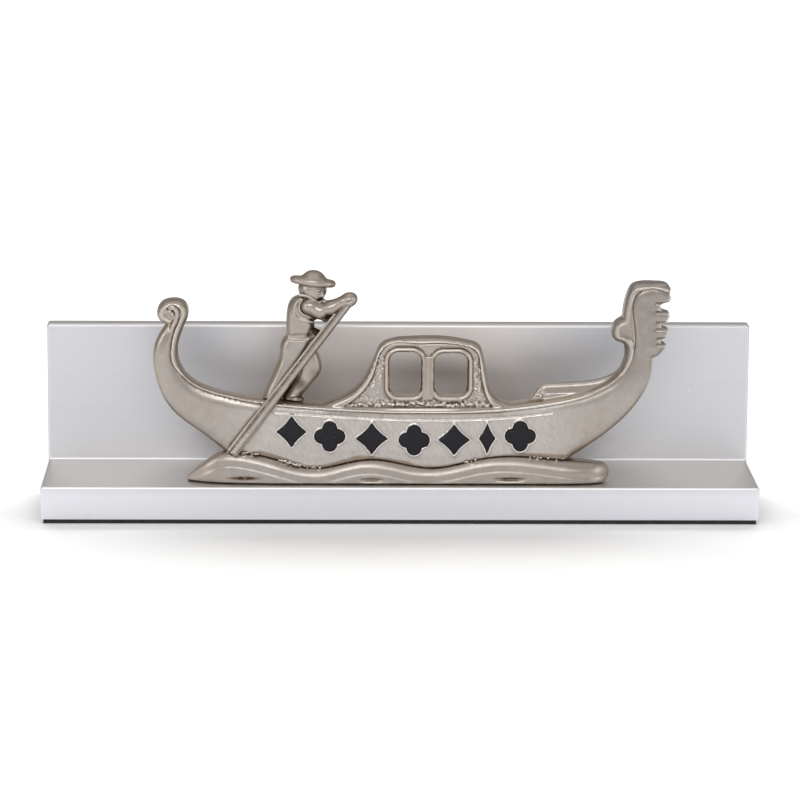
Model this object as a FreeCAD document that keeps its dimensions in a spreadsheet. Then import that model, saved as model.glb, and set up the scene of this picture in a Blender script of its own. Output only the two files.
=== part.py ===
"""Souvenir desk holder: an aluminium foot and upright with a cast rowing boat on the tread.

Frame: millimetres, +Z up, the holder's length along X, its front towards -Y, and the
origin at the middle of its footprint on the surface that it stands on.
Every casting is drawn in its own frame: local XZ is the flat back of the castings, local
Z = 0 is the tread, and material stands out from there towards -Y.
"""
import FreeCAD, Part
import math
import os

import Sketcher
from FreeCAD import Placement, Rotation, Vector

doc = FreeCAD.newDocument("gondola_holder")

# ---------------------------------------------------------------- driving dimensions

sheet = doc.addObject("Spreadsheet::Sheet", "Dimensions")
DIMENSIONS = [
    ("base_length", 200.0, "length of the extrusion"),
    ("base_depth", 41.0, "front of the foot to the back of the upright"),
    ("pad_thickness", 1.2, "strip under the foot"),
    ("pad_inset", 0.6, "strip, in from each end of the foot"),
    ("foot_height", 9.2, "side of the foot, above the strip"),
    ("wall_thickness", 2.5, "tread and side walls of the hollow foot"),
    ("upright_thickness", 5.5, "plate at the back"),
    ("upright_height", 39.5, "plate above the tread"),
    ("corner_radius", 0.6, "inner corner and front edge of the tread"),
    ("upright_radius", 0.9, "long top edges of the plate"),
    ("end_radius", 0.8, "deburred edges at both cut ends"),
    ("back_plane", 11.0, "flat back of the castings, in front of the middle"),
    ("wave_thickness", 6.9, "wave base, back to front"),
    ("panel_thickness", 5.5, "side of the boat, back to front"),
    ("rail_thickness", 6.2, "gunwale rail, back to front"),
    ("cabin_thickness", 4.6, "cabin face, back to front"),
    ("cabin_rim", 0.9, "how far cabin frames stand out"),
    ("deck_thickness", 3.6, "fore-deck panel, back to front"),
    ("rim_height", 0.3, "rim round each enamel cell, above the panel"),
    ("rim_width", 0.45, "rim round each enamel cell, across"),
    ("cell_depth", 0.7, "depth of each enamel cell from its rim"),
    ("enamel_rise", 0.1, "enamel, above its rim"),
    ("frame_rise", 0.54, "window frames, above the cabin face"),
    ("oar_plane", 6.6, "axis of the oar, in front of the back plane"),
    ("oar_diameter", 2.6, "round shaft of the oar"),
    ("oar_length", 53.0, "oar from blade tip to handle"),
    ("blade_length", 19.0, "flat part of the oar"),
    ("shaft_start", 8.5, "blade tip to where the round shaft begins"),
    ("blade_width", 3.5, "across the blade"),
    ("blade_thickness", 1.6, "through the blade"),
    ("screw_diameter", 3.0, "fixing screws"),
    ("screw_clearance", 3.4, "their holes through the tread"),
    ("screw_reach", 5.0, "depth of the screw holes in the wave base"),
    ("screw_gap", 0.4, "free depth at the tip of each screw"),
    ("screw_line", 3.2, "screws, in front of the back plane"),
    ("head_diameter", 5.6, "pan head"),
    ("head_height", 2.0, "pan head"),
    ("socket_width", 2.0, "hexagon socket across its corners"),
    ("washer_diameter", 7.0, "washers"),
    ("washer_thickness", 0.5, "washers"),
]
for row, (alias, value, meaning) in enumerate(DIMENSIONS, start=1):
    sheet.set(f"A{row}", alias)
    sheet.set(f"B{row}", str(value))
    sheet.set(f"C{row}", meaning)
    sheet.setAlias(f"B{row}", alias)
doc.recompute()

SCREW_PLACES = (-9.0, 28.0)
NEAR = 0.01  # two edges or planes this close count as the same


def size(alias):
    return float(sheet.get(alias))


def bind(thing, prop, formula):
    """Tie a property to the sheet; names in the formula are aliases marked with #."""
    thing.setExpression(prop, formula.replace("#", "Dimensions."))


# ------------------------------------------------------------------ modelling helpers

def new_body(label):
    body = doc.addObject("PartDesign::Body", label)
    body.Label = label
    return body


def casting_body(label):
    """A body whose own frame sits on the tread, at the flat back of the castings."""
    body = new_body(label)
    bind(body, "Placement.Base.y", "-#back_plane")
    bind(body, "Placement.Base.z", "#pad_thickness + #foot_height")
    return body


def new_sketch(body, name, role, lift="0"):
    """A sketch on one of the body's own planes, lifted along the plane's normal."""
    sketch = body.newObject("Sketcher::SketchObject", name)
    plane = next(f for f in body.Origin.OriginFeatures if f.Role == role)
    sketch.AttachmentSupport = [(plane, "")]
    sketch.MapMode = "FlatFace"
    bind(sketch, "AttachmentOffset.Base.z", lift)
    return sketch


def draw_outline(sketch, stretches):
    """Closed outline; a stretch of two points is a line, a longer one a smooth curve."""
    first = sketch.GeometryCount
    last = first + len(stretches) - 1
    for points in stretches:
        vectors = [Vector(x, z, 0) for x, z in points]
        if len(vectors) == 2:
            curve = Part.LineSegment(*vectors)
        else:
            curve = Part.BSplineCurve()
            curve.interpolate(vectors)
        sketch.addGeometry(curve, False)
    for index in range(first, last + 1):
        following = first if index == last else index + 1
        sketch.addConstraint(Sketcher.Constraint("Coincident", index, 2, following, 1))
        sketch.addConstraint(Sketcher.Constraint("Block", index))


def draw_rectangle(sketch, left, bottom, width, height):
    """Rectangle held by four dimensions, each a formula on the sheet."""
    start = 10.0
    corners = [Vector(0, 0, 0), Vector(start, 0, 0), Vector(start, start, 0),
               Vector(0, start, 0)]
    first = sketch.GeometryCount
    for index in range(4):
        side = Part.LineSegment(corners[index], corners[(index + 1) % 4])
        sketch.addGeometry(side, False)
    for index in range(4):
        following = first + (index + 1) % 4
        sketch.addConstraint(Sketcher.Constraint("Coincident", first + index, 2, following, 1))
        kind = "Horizontal" if index % 2 == 0 else "Vertical"
        sketch.addConstraint(Sketcher.Constraint(kind, first + index))
    held = [
        ("DistanceX", (first, 1, first, 2), start, width),
        ("DistanceY", (first + 1, 1, first + 1, 2), start, height),
        ("DistanceX", (-1, 1, first, 1), NEAR, left),
        ("DistanceY", (-1, 1, first, 1), NEAR, bottom),
    ]
    for kind, ends, value, formula in held:
        number = sketch.addConstraint(Sketcher.Constraint(kind, *ends, value))
        bind(sketch, f"Constraints[{number}]", formula)


def draw_circle(sketch, x, y, diameter):
    number = sketch.addGeometry(Part.Circle(Vector(x, y, 0), Vector(0, 0, 1), 1), False)
    sketch.addConstraint(Sketcher.Constraint("DistanceX", -1, 1, number, 3, x))
    sketch.addConstraint(Sketcher.Constraint("DistanceY", -1, 1, number, 3, y))
    held = sketch.addConstraint(Sketcher.Constraint("Diameter", number, 2))
    bind(sketch, f"Constraints[{held}]", diameter)


def draw_rounded(sketch, left, right, bottom, top, radius):
    """Rectangle with round corners."""
    turns = [(right, bottom, -90), (right, top, 0), (left, top, 90), (left, bottom, 180)]
    arcs = []
    for x, z, start in turns:
        inward_x = -radius if x == right else radius
        inward_z = radius if z == bottom else -radius
        circle = Part.Circle(Vector(x + inward_x, z + inward_z, 0), Vector(0, 0, 1), radius)
        arcs.append(Part.ArcOfCircle(circle, math.radians(start), math.radians(start + 90)))
    for index, arc in enumerate(arcs):
        sketch.addGeometry(arc, False)
        side = Part.LineSegment(arc.EndPoint, arcs[(index + 1) % 4].StartPoint)
        sketch.addGeometry(side, False)


def add_feature(body, kind, sketch, name, length, **options):
    """Pad or Pocket of a sketch; the body's volume has to change."""
    before = body.Shape.Volume if body.Tip else 0.0
    feature = body.newObject(f"PartDesign::{kind}", name)
    feature.Profile = sketch
    bind(feature, "Length", length)
    for key, value in options.items():
        setattr(feature, key, value)
    doc.recompute()
    assert abs(body.Shape.Volume - before) > 0.001, f"{name} changes nothing"
    return feature


def add_fillet(body, name, radius, chosen):
    """Round the edges of the body's tip that the test accepts."""
    base = body.Tip
    edges = [f"Edge{n}" for n, edge in enumerate(base.Shape.Edges, start=1) if chosen(edge)]
    assert edges, f"{name} finds no edge"
    fillet = body.newObject("PartDesign::Fillet", name)
    fillet.Base = (base, edges)
    bind(fillet, "Radius", radius)
    doc.recompute()
    return fillet


def primitive(kind, name, centre, turn=None, **sizes):
    """Part primitive in a casting's frame, placed in the holder's frame."""
    shape = doc.addObject(f"Part::{kind}", name)
    for key, value in sizes.items():
        setattr(shape, key, value)
    lifted = Vector(*centre) + Vector(0, -size("back_plane"), tread)
    shape.Placement = Placement(lifted, turn or Rotation())
    return shape


# ------------------------------------------------------------------------- the holder

tread = size("pad_thickness") + size("foot_height")


def build_base_profile():
    """Extrusion: hollow foot, tread and upright plate, with its two cut ends rounded."""
    body = new_body("base_profile")
    foot = new_sketch(body, "foot_section", "YZ_Plane", "-#base_length / 2")
    draw_rectangle(foot, "-#base_depth / 2", "#pad_thickness", "#base_depth", "#foot_height")
    add_feature(body, "Pad", foot, "foot", "#base_length")
    plate = new_sketch(body, "plate_section", "YZ_Plane", "-#base_length / 2")
    draw_rectangle(plate, "#base_depth / 2 - #upright_thickness", "#pad_thickness",
                   "#upright_thickness", "#foot_height + #upright_height")
    add_feature(body, "Pad", plate, "upright", "#base_length")
    hollow = new_sketch(body, "hollow_section", "YZ_Plane", "#base_length / 2")
    draw_rectangle(hollow, "-#base_depth / 2 + #wall_thickness", "#pad_thickness",
                   "#base_depth - 2 * #wall_thickness", "#foot_height - #wall_thickness")
    add_feature(body, "Pocket", hollow, "hollow", "#base_length")
    front = -size("base_depth") / 2
    plate_front = -front - size("upright_thickness")
    top = tread + size("upright_height")

    def runs_along(edge, y, z):
        box = edge.BoundBox
        near = abs(box.YMin - y) + abs(box.YMax - y) + abs(box.ZMin - z) + abs(box.ZMax - z)
        return near < NEAR

    def at_tread(edge):
        return runs_along(edge, front, tread) or runs_along(edge, plate_front, tread)

    def at_top(edge):
        return runs_along(edge, plate_front, top) or runs_along(edge, -front, top)

    def at_ends(edge):
        box = edge.BoundBox
        outer = box.ZMin > tread - size("upright_radius")
        end = size("base_length") / 2
        return outer and box.XLength < NEAR and abs(abs(box.XMin) - end) < NEAR

    add_fillet(body, "tread_edges", "#corner_radius", at_tread)
    add_fillet(body, "upright_edges", "#upright_radius", at_top)
    add_fillet(body, "end_edges", "#end_radius", at_ends)
    holes = new_sketch(body, "screw_places", "XY_Plane", "#pad_thickness + #foot_height")
    for x in SCREW_PLACES:
        draw_circle(holes, x, -size("back_plane") - size("screw_line"), "#screw_clearance")
    add_feature(body, "Pocket", holes, "screw_holes", "#wall_thickness + 1")
    return body


def build_foot_pad():
    """Dark strip that closes the foot from below."""
    body = new_body("foot_pad")
    plan = new_sketch(body, "pad_plan", "XY_Plane")
    draw_rectangle(plan, "-#base_length / 2 + #pad_inset", "-#base_depth / 2",
                   "#base_length - 2 * #pad_inset", "#base_depth")
    add_feature(body, "Pad", plan, "strip", "#pad_thickness")
    return body


# --------------------------------------------------------------------- cast wave base

# The line where the boat sits on the wave, from stern to bow.
WATER_LINE = [(-48.6, 8.9), (-40, 8.3), (-32, 6.1), (-24, 4.4), (-15, 5.9), (-8, 6.9),
              (0, 5.8), (9, 4.5), (18, 6.1), (25, 7.5), (32, 7.9), (40, 7.4), (46.2, 6.8)]


def build_wave_base():
    """Plinth with a wavy top; its two ends curve back in plan."""
    body = casting_body("wave_base")
    front = new_sketch(body, "wave_outline", "XZ_Plane")
    draw_outline(front, [
        WATER_LINE,
        [(46.2, 6.8), (55.0, 5.9), (57.9, 4.7), (58.3, 3.0), (57.4, 1.0), (56.0, 0)],
        [(56.0, 0), (-58.9, 0)],
        [(-58.9, 0), (-59.5, 0.5), (-58.5, 2.2), (-56.5, 4.1), (-54.0, 6.0), (-51.0, 8.0),
         (-48.6, 8.9)],
    ])
    add_feature(body, "Pad", front, "wave", "#wave_thickness")
    deep = -size("wave_thickness")
    plan = new_sketch(body, "wave_ends", "XY_Plane", "-1")
    draw_outline(plan, [
        [(-60.5, -2.2), (-54, -4.6), (-44, -6.3), (-34, deep)],
        [(-34, deep), (-34, deep - 2)],
        [(-34, deep - 2), (-60.5, deep - 2)],
        [(-60.5, deep - 2), (-60.5, -2.2)],
    ])
    draw_outline(plan, [
        [(46, deep), (52, -6.2), (57, -4.4), (59.5, -2.2)],
        [(59.5, -2.2), (59.5, deep - 2)],
        [(59.5, deep - 2), (46, deep - 2)],
        [(46, deep - 2), (46, deep)],
    ])
    add_feature(body, "Pocket", plan, "rounded_ends", "20", Reversed=True)
    holes = new_sketch(body, "screw_places_in_wave", "XY_Plane")
    for x in SCREW_PLACES:
        draw_circle(holes, x, -size("screw_line"), "#screw_diameter")
    add_feature(body, "Pocket", holes, "tapped_holes", "#screw_reach", Reversed=True)
    return body


# ------------------------------------------------------------------------ cast boat

STERN_POST = [(-65.0, 45), (-67.9, 40), (-68.7, 35.5), (-67.9, 30), (-66.2, 24.9),
              (-62.7, 19.9), (-56.2, 14.9), (-48.6, 8.9)]
GUNWALE = [(62.3, 36), (60.8, 32.3), (55, 27.7), (45, 24.9), (33, 23), (12, 21.6),
           (0, 21.6), (-25, 22.8), (-45, 24.9), (-54, 27.2), (-59.5, 30.8), (-61.9, 36.5),
           (-61.4, 40.8), (-59.9, 45)]
SCROLL = [(-59.9, 45), (-58.8, 48.6), (-60.1, 51.2), (-63.1, 51.9), (-66.1, 51.0),
          (-67.5, 48.4), (-66.9, 46.4), (-65.0, 45)]
STEM = [(46.2, 6.8), (55, 12.7), (62.7, 19.3), (67.2, 25.2), (69.6, 31.5), (69.7, 35.6)]
# Comb of the bow iron, from the lowest tooth up.
COMB = [
    [(69.7, 35.6), (71.4, 36.4), (73.0, 38.2), (73.7, 39.5)],
    [(73.7, 39.5), (72.7, 39.9), (72.0, 40.5), (72.5, 41.2), (73.5, 41.7)],
    [(73.5, 41.7), (74.0, 42.8), (74.0, 44.0)],
    [(74.0, 44.0), (72.9, 44.3), (72.0, 45.0), (72.4, 45.7), (73.7, 46.2)],
    [(73.7, 46.2), (74.3, 47.4), (74.2, 48.7)],
    [(74.2, 48.7), (73.1, 48.9), (71.9, 49.7), (71.7, 50.5), (72.6, 51.3), (74.3, 51.6)],
    [(74.3, 51.6), (74.6, 52.8), (74.3, 54.0), (74.6, 55.2)],
]
IRON_TOP = [(74.6, 55.2), (73.8, 56.3), (70.7, 57), (66.5, 57), (64.0, 56.2), (62.6, 53.8),
            (61.8, 51), (61.3, 47)]
NECK = [(61.3, 47), (60.0, 46.3), (59.1, 45.4), (58.5, 43.6), (58.9, 41.4), (60.1, 40.5),
        (61.7, 39.9), (62.5, 38.4), (62.3, 36.0)]

# Left edge, right edge and top of each cabin window.
WINDOWS = [(-3.2, 5.7, 37.4), (9.3, 18.6, 37.1)]
WINDOW_SILL = 24.8
WINDOW_CORNER = 2.6
FRAME_WIDTH = 1.4


def build_hull():
    """Boat in one casting: side, rail, rolled stern, bow iron, fore-deck and cabin."""
    body = casting_body("hull_casting")
    side = new_sketch(body, "hull_outline", "XZ_Plane")
    stretches = [WATER_LINE, STEM] + COMB + [IRON_TOP, NECK, GUNWALE, SCROLL, STERN_POST]
    draw_outline(side, stretches)
    add_feature(body, "Pad", side, "hull_side", "#rail_thickness")

    panel = new_sketch(body, "side_panel_outline", "XZ_Plane", "#rail_thickness")
    draw_outline(panel, [
        [(-63.2, 45), (-63.8, 37.3), (-60.2, 29.6), (-50, 25), (-25, 21.4), (0, 20.3),
         (20, 20.4), (40, 22.1), (55, 26.4), (62, 31.6), (64.9, 39), (64.4, 47),
         (65.2, 53.6), (68.1, 55.4), (74, 54.2)],
        [(74, 54.2), (80, 54.2)],
        [(80, 54.2), (80, 0)],
        [(80, 0), (-75, 0)],
        [(-75, 0), (-75, 45)],
        [(-75, 45), (-63.2, 45)],
    ])
    add_feature(body, "Pocket", panel, "side_panel", "#rail_thickness - #panel_thickness")

    deck = new_sketch(body, "fore_deck_outline", "XZ_Plane")
    draw_outline(deck, [
        [(34.0, 22.4), (37.2, 25.0), (39.4, 27.7), (41.5, 28.1)],
        [(41.5, 28.1), (50.5, 28.6), (58.2, 30.4), (61.8, 33.5), (62.1, 39.0)],
        [(62.1, 39.0), (65.5, 39.0)],
        [(65.5, 39.0), (65.5, 30.0)],
        [(65.5, 30.0), (45, 21.0)],
        [(45, 21.0), (34.0, 22.4)],
    ])
    add_feature(body, "Pad", deck, "fore_deck", "#deck_thickness")

    cabin = new_sketch(body, "cabin_outline", "XZ_Plane")
    draw_outline(cabin, [
        [(-22, 22.6), (-16.8, 24.5), (-12, 27.6), (-8.9, 32.1), (-7.1, 36.3), (-5.6, 39.2),
         (-3.2, 40.5), (3, 41.3), (12, 41.3), (18.4, 40.3), (21.8, 38.9), (22.9, 36.1),
         (24.1, 29.9), (25.6, 25.3), (30, 22.8)],
        [(30, 22.8), (30, 19)],
        [(30, 19), (-22, 19)],
        [(-22, 19), (-22, 22.6)],
    ])
    add_feature(body, "Pad", cabin, "cabin", "#cabin_thickness + #cabin_rim")
    recess = new_sketch(body, "cabin_face", "XZ_Plane", "#cabin_thickness + #cabin_rim")
    draw_outline(recess, [
        [(-15.2, 22.6), (-14.6, 22.8), (-12.0, 24.8), (-9.9, 27.2), (-8.2, 30.1),
         (-6.6, 34.8), (-5.5, 37.7), (-3.6, 39.4), (3, 40.0), (12, 40.0), (18.4, 39.1),
         (20.9, 37.8), (22.0, 34.4), (22.6, 30.1), (23.4, 26.5), (24.9, 23.3), (25.6, 22.8)],
        [(25.6, 22.8), (12, 21.8), (0, 21.8), (-15.2, 22.6)],
    ])
    add_feature(body, "Pocket", recess, "recessed_face", "#cabin_rim")
    frames = new_sketch(body, "window_frames", "XZ_Plane")
    for left, right, top in WINDOWS:
        draw_rounded(frames, left - FRAME_WIDTH, right + FRAME_WIDTH,
                     WINDOW_SILL - FRAME_WIDTH, top + FRAME_WIDTH, WINDOW_CORNER + FRAME_WIDTH)
    add_feature(body, "Pad", frames, "raised_frames", "#cabin_thickness + #frame_rise")
    windows = new_sketch(body, "window_openings", "XZ_Plane", "#rail_thickness")
    for left, right, top in WINDOWS:
        draw_rounded(windows, left, right, WINDOW_SILL, top, WINDOW_CORNER)
    add_feature(body, "Pocket", windows, "windows", "#rail_thickness")

    rims = new_sketch(body, "cell_rims", "XZ_Plane", "#panel_thickness")
    cells = new_sketch(body, "cell_outlines", "XZ_Plane", "#panel_thickness + #rim_height")
    for place in ORNAMENTS:
        draw_ornament(rims, *place, margin=size("rim_width"))
        draw_ornament(cells, *place)
    add_feature(body, "Pad", rims, "rims", "#rim_height")
    add_feature(body, "Pocket", cells, "cells", "#cell_depth")
    return body


# ---------------------------------------------------------------- enamel in the side

LOBE_RADIUS = 2.05
SIDE_BOW = 0.44  # of the sum of a lozenge's corners; 0.5 would make its sides straight
# Kind, middle x, middle z, half width and half height of each ornament.
ORNAMENTS = [
    ("lozenge", -30.3, 14.9, 4.2, 4.5),
    ("quatrefoil", -19.7, 13.6, 4.3, 4.3),
    ("lozenge", -8.0, 13.0, 4.5, 4.5),
    ("quatrefoil", 3.8, 12.6, 4.3, 4.3),
    ("lozenge", 14.9, 12.7, 4.5, 4.4),
    ("lozenge", 24.1, 13.1, 2.3, 4.4),
    ("quatrefoil", 33.3, 13.8, 4.3, 4.3),
]


def draw_ornament(sketch, kind, x, z, half_width, half_height, margin=0.0):
    """One closed enamel shape: a curved lozenge, or four round lobes."""
    if kind == "lozenge":
        wide, tall = half_width + margin, half_height + margin
        points = [(wide, 0), (0, tall), (-wide, 0), (0, -tall)]
        stretches = []
        for (x1, z1), (x2, z2) in zip(points, points[1:] + points[:1]):
            middle = (x + SIDE_BOW * (x1 + x2), z + SIDE_BOW * (z1 + z2))
            stretches.append([(x + x1, z + z1), middle, (x + x2, z + z2)])
        draw_outline(sketch, stretches)
        return
    lobe = LOBE_RADIUS + margin
    reach = half_width - LOBE_RADIUS
    notch = (reach + math.sqrt(2 * lobe ** 2 - reach ** 2)) / 2
    half_turn = math.atan2(notch, notch - reach)
    for quarter in range(4):
        facing = quarter * math.pi / 2
        middle = Vector(x + reach * math.cos(facing), z + reach * math.sin(facing), 0)
        circle = Part.Circle(middle, Vector(0, 0, 1), lobe)
        arc = Part.ArcOfCircle(circle, facing - half_turn, facing + half_turn)
        sketch.addGeometry(arc, False)


def build_inlay(number, place):
    """Enamel that fills one cell and stands a little proud of its rim."""
    body = casting_body(f"enamel_inlay_{number}")
    floor = "#panel_thickness + #rim_height - #cell_depth"
    shape = new_sketch(body, f"inlay_outline_{number}", "XZ_Plane", floor)
    draw_ornament(shape, *place)
    add_feature(body, "Pad", shape, f"enamel_{number}", "#cell_depth + #enamel_rise")
    return body


# -------------------------------------------------------------------------- the oar

OAR_TIP = (-47.0, 8.7)
OAR_TOP = (-15.1, 51.0)


def build_oar():
    """Round shaft and flat blade with a middle rib, drawn upright and then leaned over."""
    body = new_body("oar_casting")
    shaft = new_sketch(body, "shaft_section", "XY_Plane", "#shaft_start")
    draw_circle(shaft, 0, 0, "#oar_diameter")
    add_feature(body, "Pad", shaft, "shaft", "#oar_length - #shaft_start")
    blade = new_sketch(body, "blade_outline", "XZ_Plane")
    half = size("blade_width") / 2
    length = size("blade_length")
    neck = size("oar_diameter") / 2 - 0.1
    draw_outline(blade, [
        [(-half, 0.8), (-half, 0.55 * length), (-neck, length)],
        [(-neck, length), (neck, length)],
        [(neck, length), (half, 0.55 * length), (half, 0.8)],
        [(half, 0.8), (0, 0), (-half, 0.8)],
    ])
    add_feature(body, "Pad", blade, "blade", "#blade_thickness", Midplane=True)
    lean = math.degrees(math.atan2(OAR_TOP[0] - OAR_TIP[0], OAR_TOP[1] - OAR_TIP[1]))
    body.Placement = Placement(Vector(OAR_TIP[0], 0, 0), Rotation(Vector(0, 1, 0), lean))
    bind(body, "Placement.Base.y", "-#back_plane - #oar_plane")
    bind(body, "Placement.Base.z", f"#pad_thickness + #foot_height + {OAR_TIP[1]}")
    return body


# ------------------------------------------------------------------------- the rower

# Limbs as round bars between joints: name, first joint, radius, second joint, radius.
LIMBS = [
    ("head", (-24.6, -3.2, 54.5), 3.2, (-24.2, -3.3, 57.6), 2.8),
    ("rear_thigh", (-30.0, -2.9, 39.2), 2.8, (-33.2, -2.8, 32.6), 2.2),
    ("rear_shin", (-33.2, -2.8, 32.6), 2.2, (-36.0, -2.6, 25.3), 1.6),
    ("front_thigh", (-27.6, -3.2, 38.8), 2.9, (-24.6, -3.4, 33.0), 2.4),
    ("front_shin", (-24.6, -3.4, 33.0), 2.4, (-29.6, -3.2, 25.0), 1.5),
    ("neck", (-26.0, -3.1, 51.3), 2.4, (-25.0, -3.2, 53.4), 2.2),
    ("near_arm", (-25.4, -4.8, 50.1), 2.2, (-22.6, -5.4, 48.6), 1.95),
    ("near_forearm", (-22.6, -5.4, 48.6), 1.95, (-14.6, -6.2, 52.3), 2.0),
    ("far_arm", (-25.4, -2.2, 49.0), 1.8, (-19.6, -4.8, 47.3), 1.3),
]
# Rounded masses: name, middle, half sizes along X, Y and Z, lean about Y in degrees.
MASSES = [
    ("hips", (-29.3, -3.1, 40.2), (4.0, 2.9, 3.6), 0),
    ("torso", (-27.9, -3.1, 46.6), (4.0, 2.95, 6.1), 4),
    ("hat_brim", (-24.5, -3.4, 57.3), (6.3, 3.3, 0.9), 5),
    ("rear_foot", (-35.6, -2.8, 24.2), (2.2, 1.4, 1.1), 6),
    ("front_foot", (-28.2, -3.4, 23.9), (2.2, 1.4, 1.1), 6),
]


def build_rower():
    """Figure fused from round bars and rounded masses."""
    pieces = []
    joints = {}
    for name, first, radius_1, second, radius_2 in LIMBS:
        start, end = Vector(*first), Vector(*second)
        along = Rotation(Vector(0, 0, 1), end - start)
        length = (end - start).Length
        pieces.append(primitive("Cone", name, first, along, Radius1=radius_1,
                                Radius2=radius_2, Height=length))
        joints.update({first: radius_1, second: radius_2})
    for number, (joint, radius) in enumerate(joints.items(), start=1):
        pieces.append(primitive("Sphere", f"joint_{number}", joint, Radius=radius + 0.02))
    for name, middle, (half_x, half_y, half_z), lean in MASSES:
        turn = Rotation(Vector(0, 1, 0), lean)
        pieces.append(primitive("Ellipsoid", name, middle, turn, Radius1=half_z,
                                Radius2=half_x, Radius3=half_y))
    figure = doc.addObject("Part::MultiFuse", "figure")
    figure.Shapes = pieces
    return figure


def cut_away(label, base, tool):
    """Base less whatever the tool occupies, so that the two meet face to face."""
    cut = doc.addObject("Part::Cut", label)
    cut.Label = label
    cut.Base = base
    cut.Tool = tool
    doc.recompute()
    return cut


# ---------------------------------------------------------------------- fasteners

def build_screws():
    """Two pan-head screws from below the tread, with hexagon sockets."""
    under_head = -size("wall_thickness") - size("washer_thickness")
    screws = []
    for number, x in enumerate(SCREW_PLACES, start=1):
        y = -size("screw_line")
        shank = primitive("Cylinder", f"shank_{number}", (x, y, under_head))
        bind(shank, "Radius", "#screw_diameter / 2")
        bind(shank, "Height", "#wall_thickness + #washer_thickness + #screw_reach - #screw_gap")
        low = under_head - size("head_height")
        head = primitive("Cylinder", f"head_{number}", (x, y, low))
        bind(head, "Radius", "#head_diameter / 2")
        bind(head, "Height", "#head_height")
        socket = primitive("Prism", f"socket_{number}", (x, y, low), Polygon=6)
        bind(socket, "Circumradius", "#socket_width / 2")
        bind(socket, "Height", "#head_height / 2")
        whole = doc.addObject("Part::Fuse", f"screw_blank_{number}")
        whole.Base = head
        whole.Tool = shank
        screws.append(cut_away(f"screw_{number}", whole, socket))
    return group("fixing_screws", screws)


def build_washers():
    washers = []
    for number, x in enumerate(SCREW_PLACES, start=1):
        low = -size("wall_thickness") - size("washer_thickness")
        centre = (x, -size("screw_line"), low)
        disc = primitive("Cylinder", f"disc_{number}", centre)
        bind(disc, "Radius", "#washer_diameter / 2")
        bind(disc, "Height", "#washer_thickness")
        hole = primitive("Cylinder", f"washer_hole_{number}", centre)
        bind(hole, "Radius", "#screw_clearance / 2")
        bind(hole, "Height", "#washer_thickness")
        washers.append(cut_away(f"washer_{number}", disc, hole))
    return group("screw_washers", washers)


def group(label, members):
    together = doc.addObject("Part::Compound", label)
    together.Label = label
    together.Links = members
    return together


# ------------------------------------------------------------------------- assembly

nodes = {"base_profile": build_base_profile(), "foot_pad": build_foot_pad()}
nodes["wave_base"] = build_wave_base()
for number, place in enumerate(ORNAMENTS, start=1):
    nodes[f"enamel_inlay_{number}"] = build_inlay(number, place)
nodes["oar"] = cut_away("oar", build_oar(), nodes["wave_base"])
nodes["hull"] = cut_away("hull", build_hull(), nodes["oar"])
above_hull = cut_away("rower_on_deck", build_rower(), nodes["hull"])
nodes["gondolier"] = cut_away("gondolier", above_hull, nodes["oar"])
nodes["fixing_screws"] = build_screws()
nodes["screw_washers"] = build_washers()
doc.recompute()

for thing in doc.Objects:
    broken = {"Invalid", "Error"} & set(thing.State)
    assert not broken, f"{thing.Label} failed: {thing.State}"
os.makedirs("parts", exist_ok=True)
for name, node in nodes.items():
    shape = node.Shape
    assert not shape.isNull() and shape.isValid(), f"{name} is not a valid shape"
    shape.exportStep(f"parts/{name}.step")
    box = shape.BoundBox
    print(f"{name:16s} {len(shape.Solids)} solid(s), {shape.Volume:9.1f} mm3, "
          f"x {box.XMin:.2f}..{box.XMax:.2f} y {box.YMin:.2f}..{box.YMax:.2f} "
          f"z {box.ZMin:.2f}..{box.ZMax:.2f}")
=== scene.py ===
"""Looks of the gondola desk holder, built in the frame of its CAD model (metres).

Each casting is described as a solid field: numbers that are negative inside the metal.
Outlines, bars and rounded masses are blended into one field, and a fine mesh is wrapped
round its zero level. Casting sizes are in millimetres: x along the holder, z above the
tread, and depth from the flat back of the castings towards the front.
"""
import math

import bmesh
import bpy
import numpy as np
from mathutils import Euler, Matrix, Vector


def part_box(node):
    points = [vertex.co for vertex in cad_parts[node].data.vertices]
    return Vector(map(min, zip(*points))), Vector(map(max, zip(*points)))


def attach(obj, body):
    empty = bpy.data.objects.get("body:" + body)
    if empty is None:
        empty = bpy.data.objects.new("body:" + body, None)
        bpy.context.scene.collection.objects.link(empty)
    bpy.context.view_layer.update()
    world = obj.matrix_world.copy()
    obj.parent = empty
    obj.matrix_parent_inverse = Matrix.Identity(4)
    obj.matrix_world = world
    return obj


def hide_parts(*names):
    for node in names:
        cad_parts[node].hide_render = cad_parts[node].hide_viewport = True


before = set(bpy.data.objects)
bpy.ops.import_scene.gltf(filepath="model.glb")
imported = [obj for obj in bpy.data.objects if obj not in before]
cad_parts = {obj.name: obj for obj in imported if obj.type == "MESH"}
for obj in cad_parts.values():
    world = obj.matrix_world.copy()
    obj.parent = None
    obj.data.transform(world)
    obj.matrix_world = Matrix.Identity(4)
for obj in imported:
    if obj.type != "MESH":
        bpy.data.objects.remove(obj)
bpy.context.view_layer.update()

MM = 0.001
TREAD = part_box("wave_base")[0][2]
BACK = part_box("hull")[1][1]

# ---- outlines, shared

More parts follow.
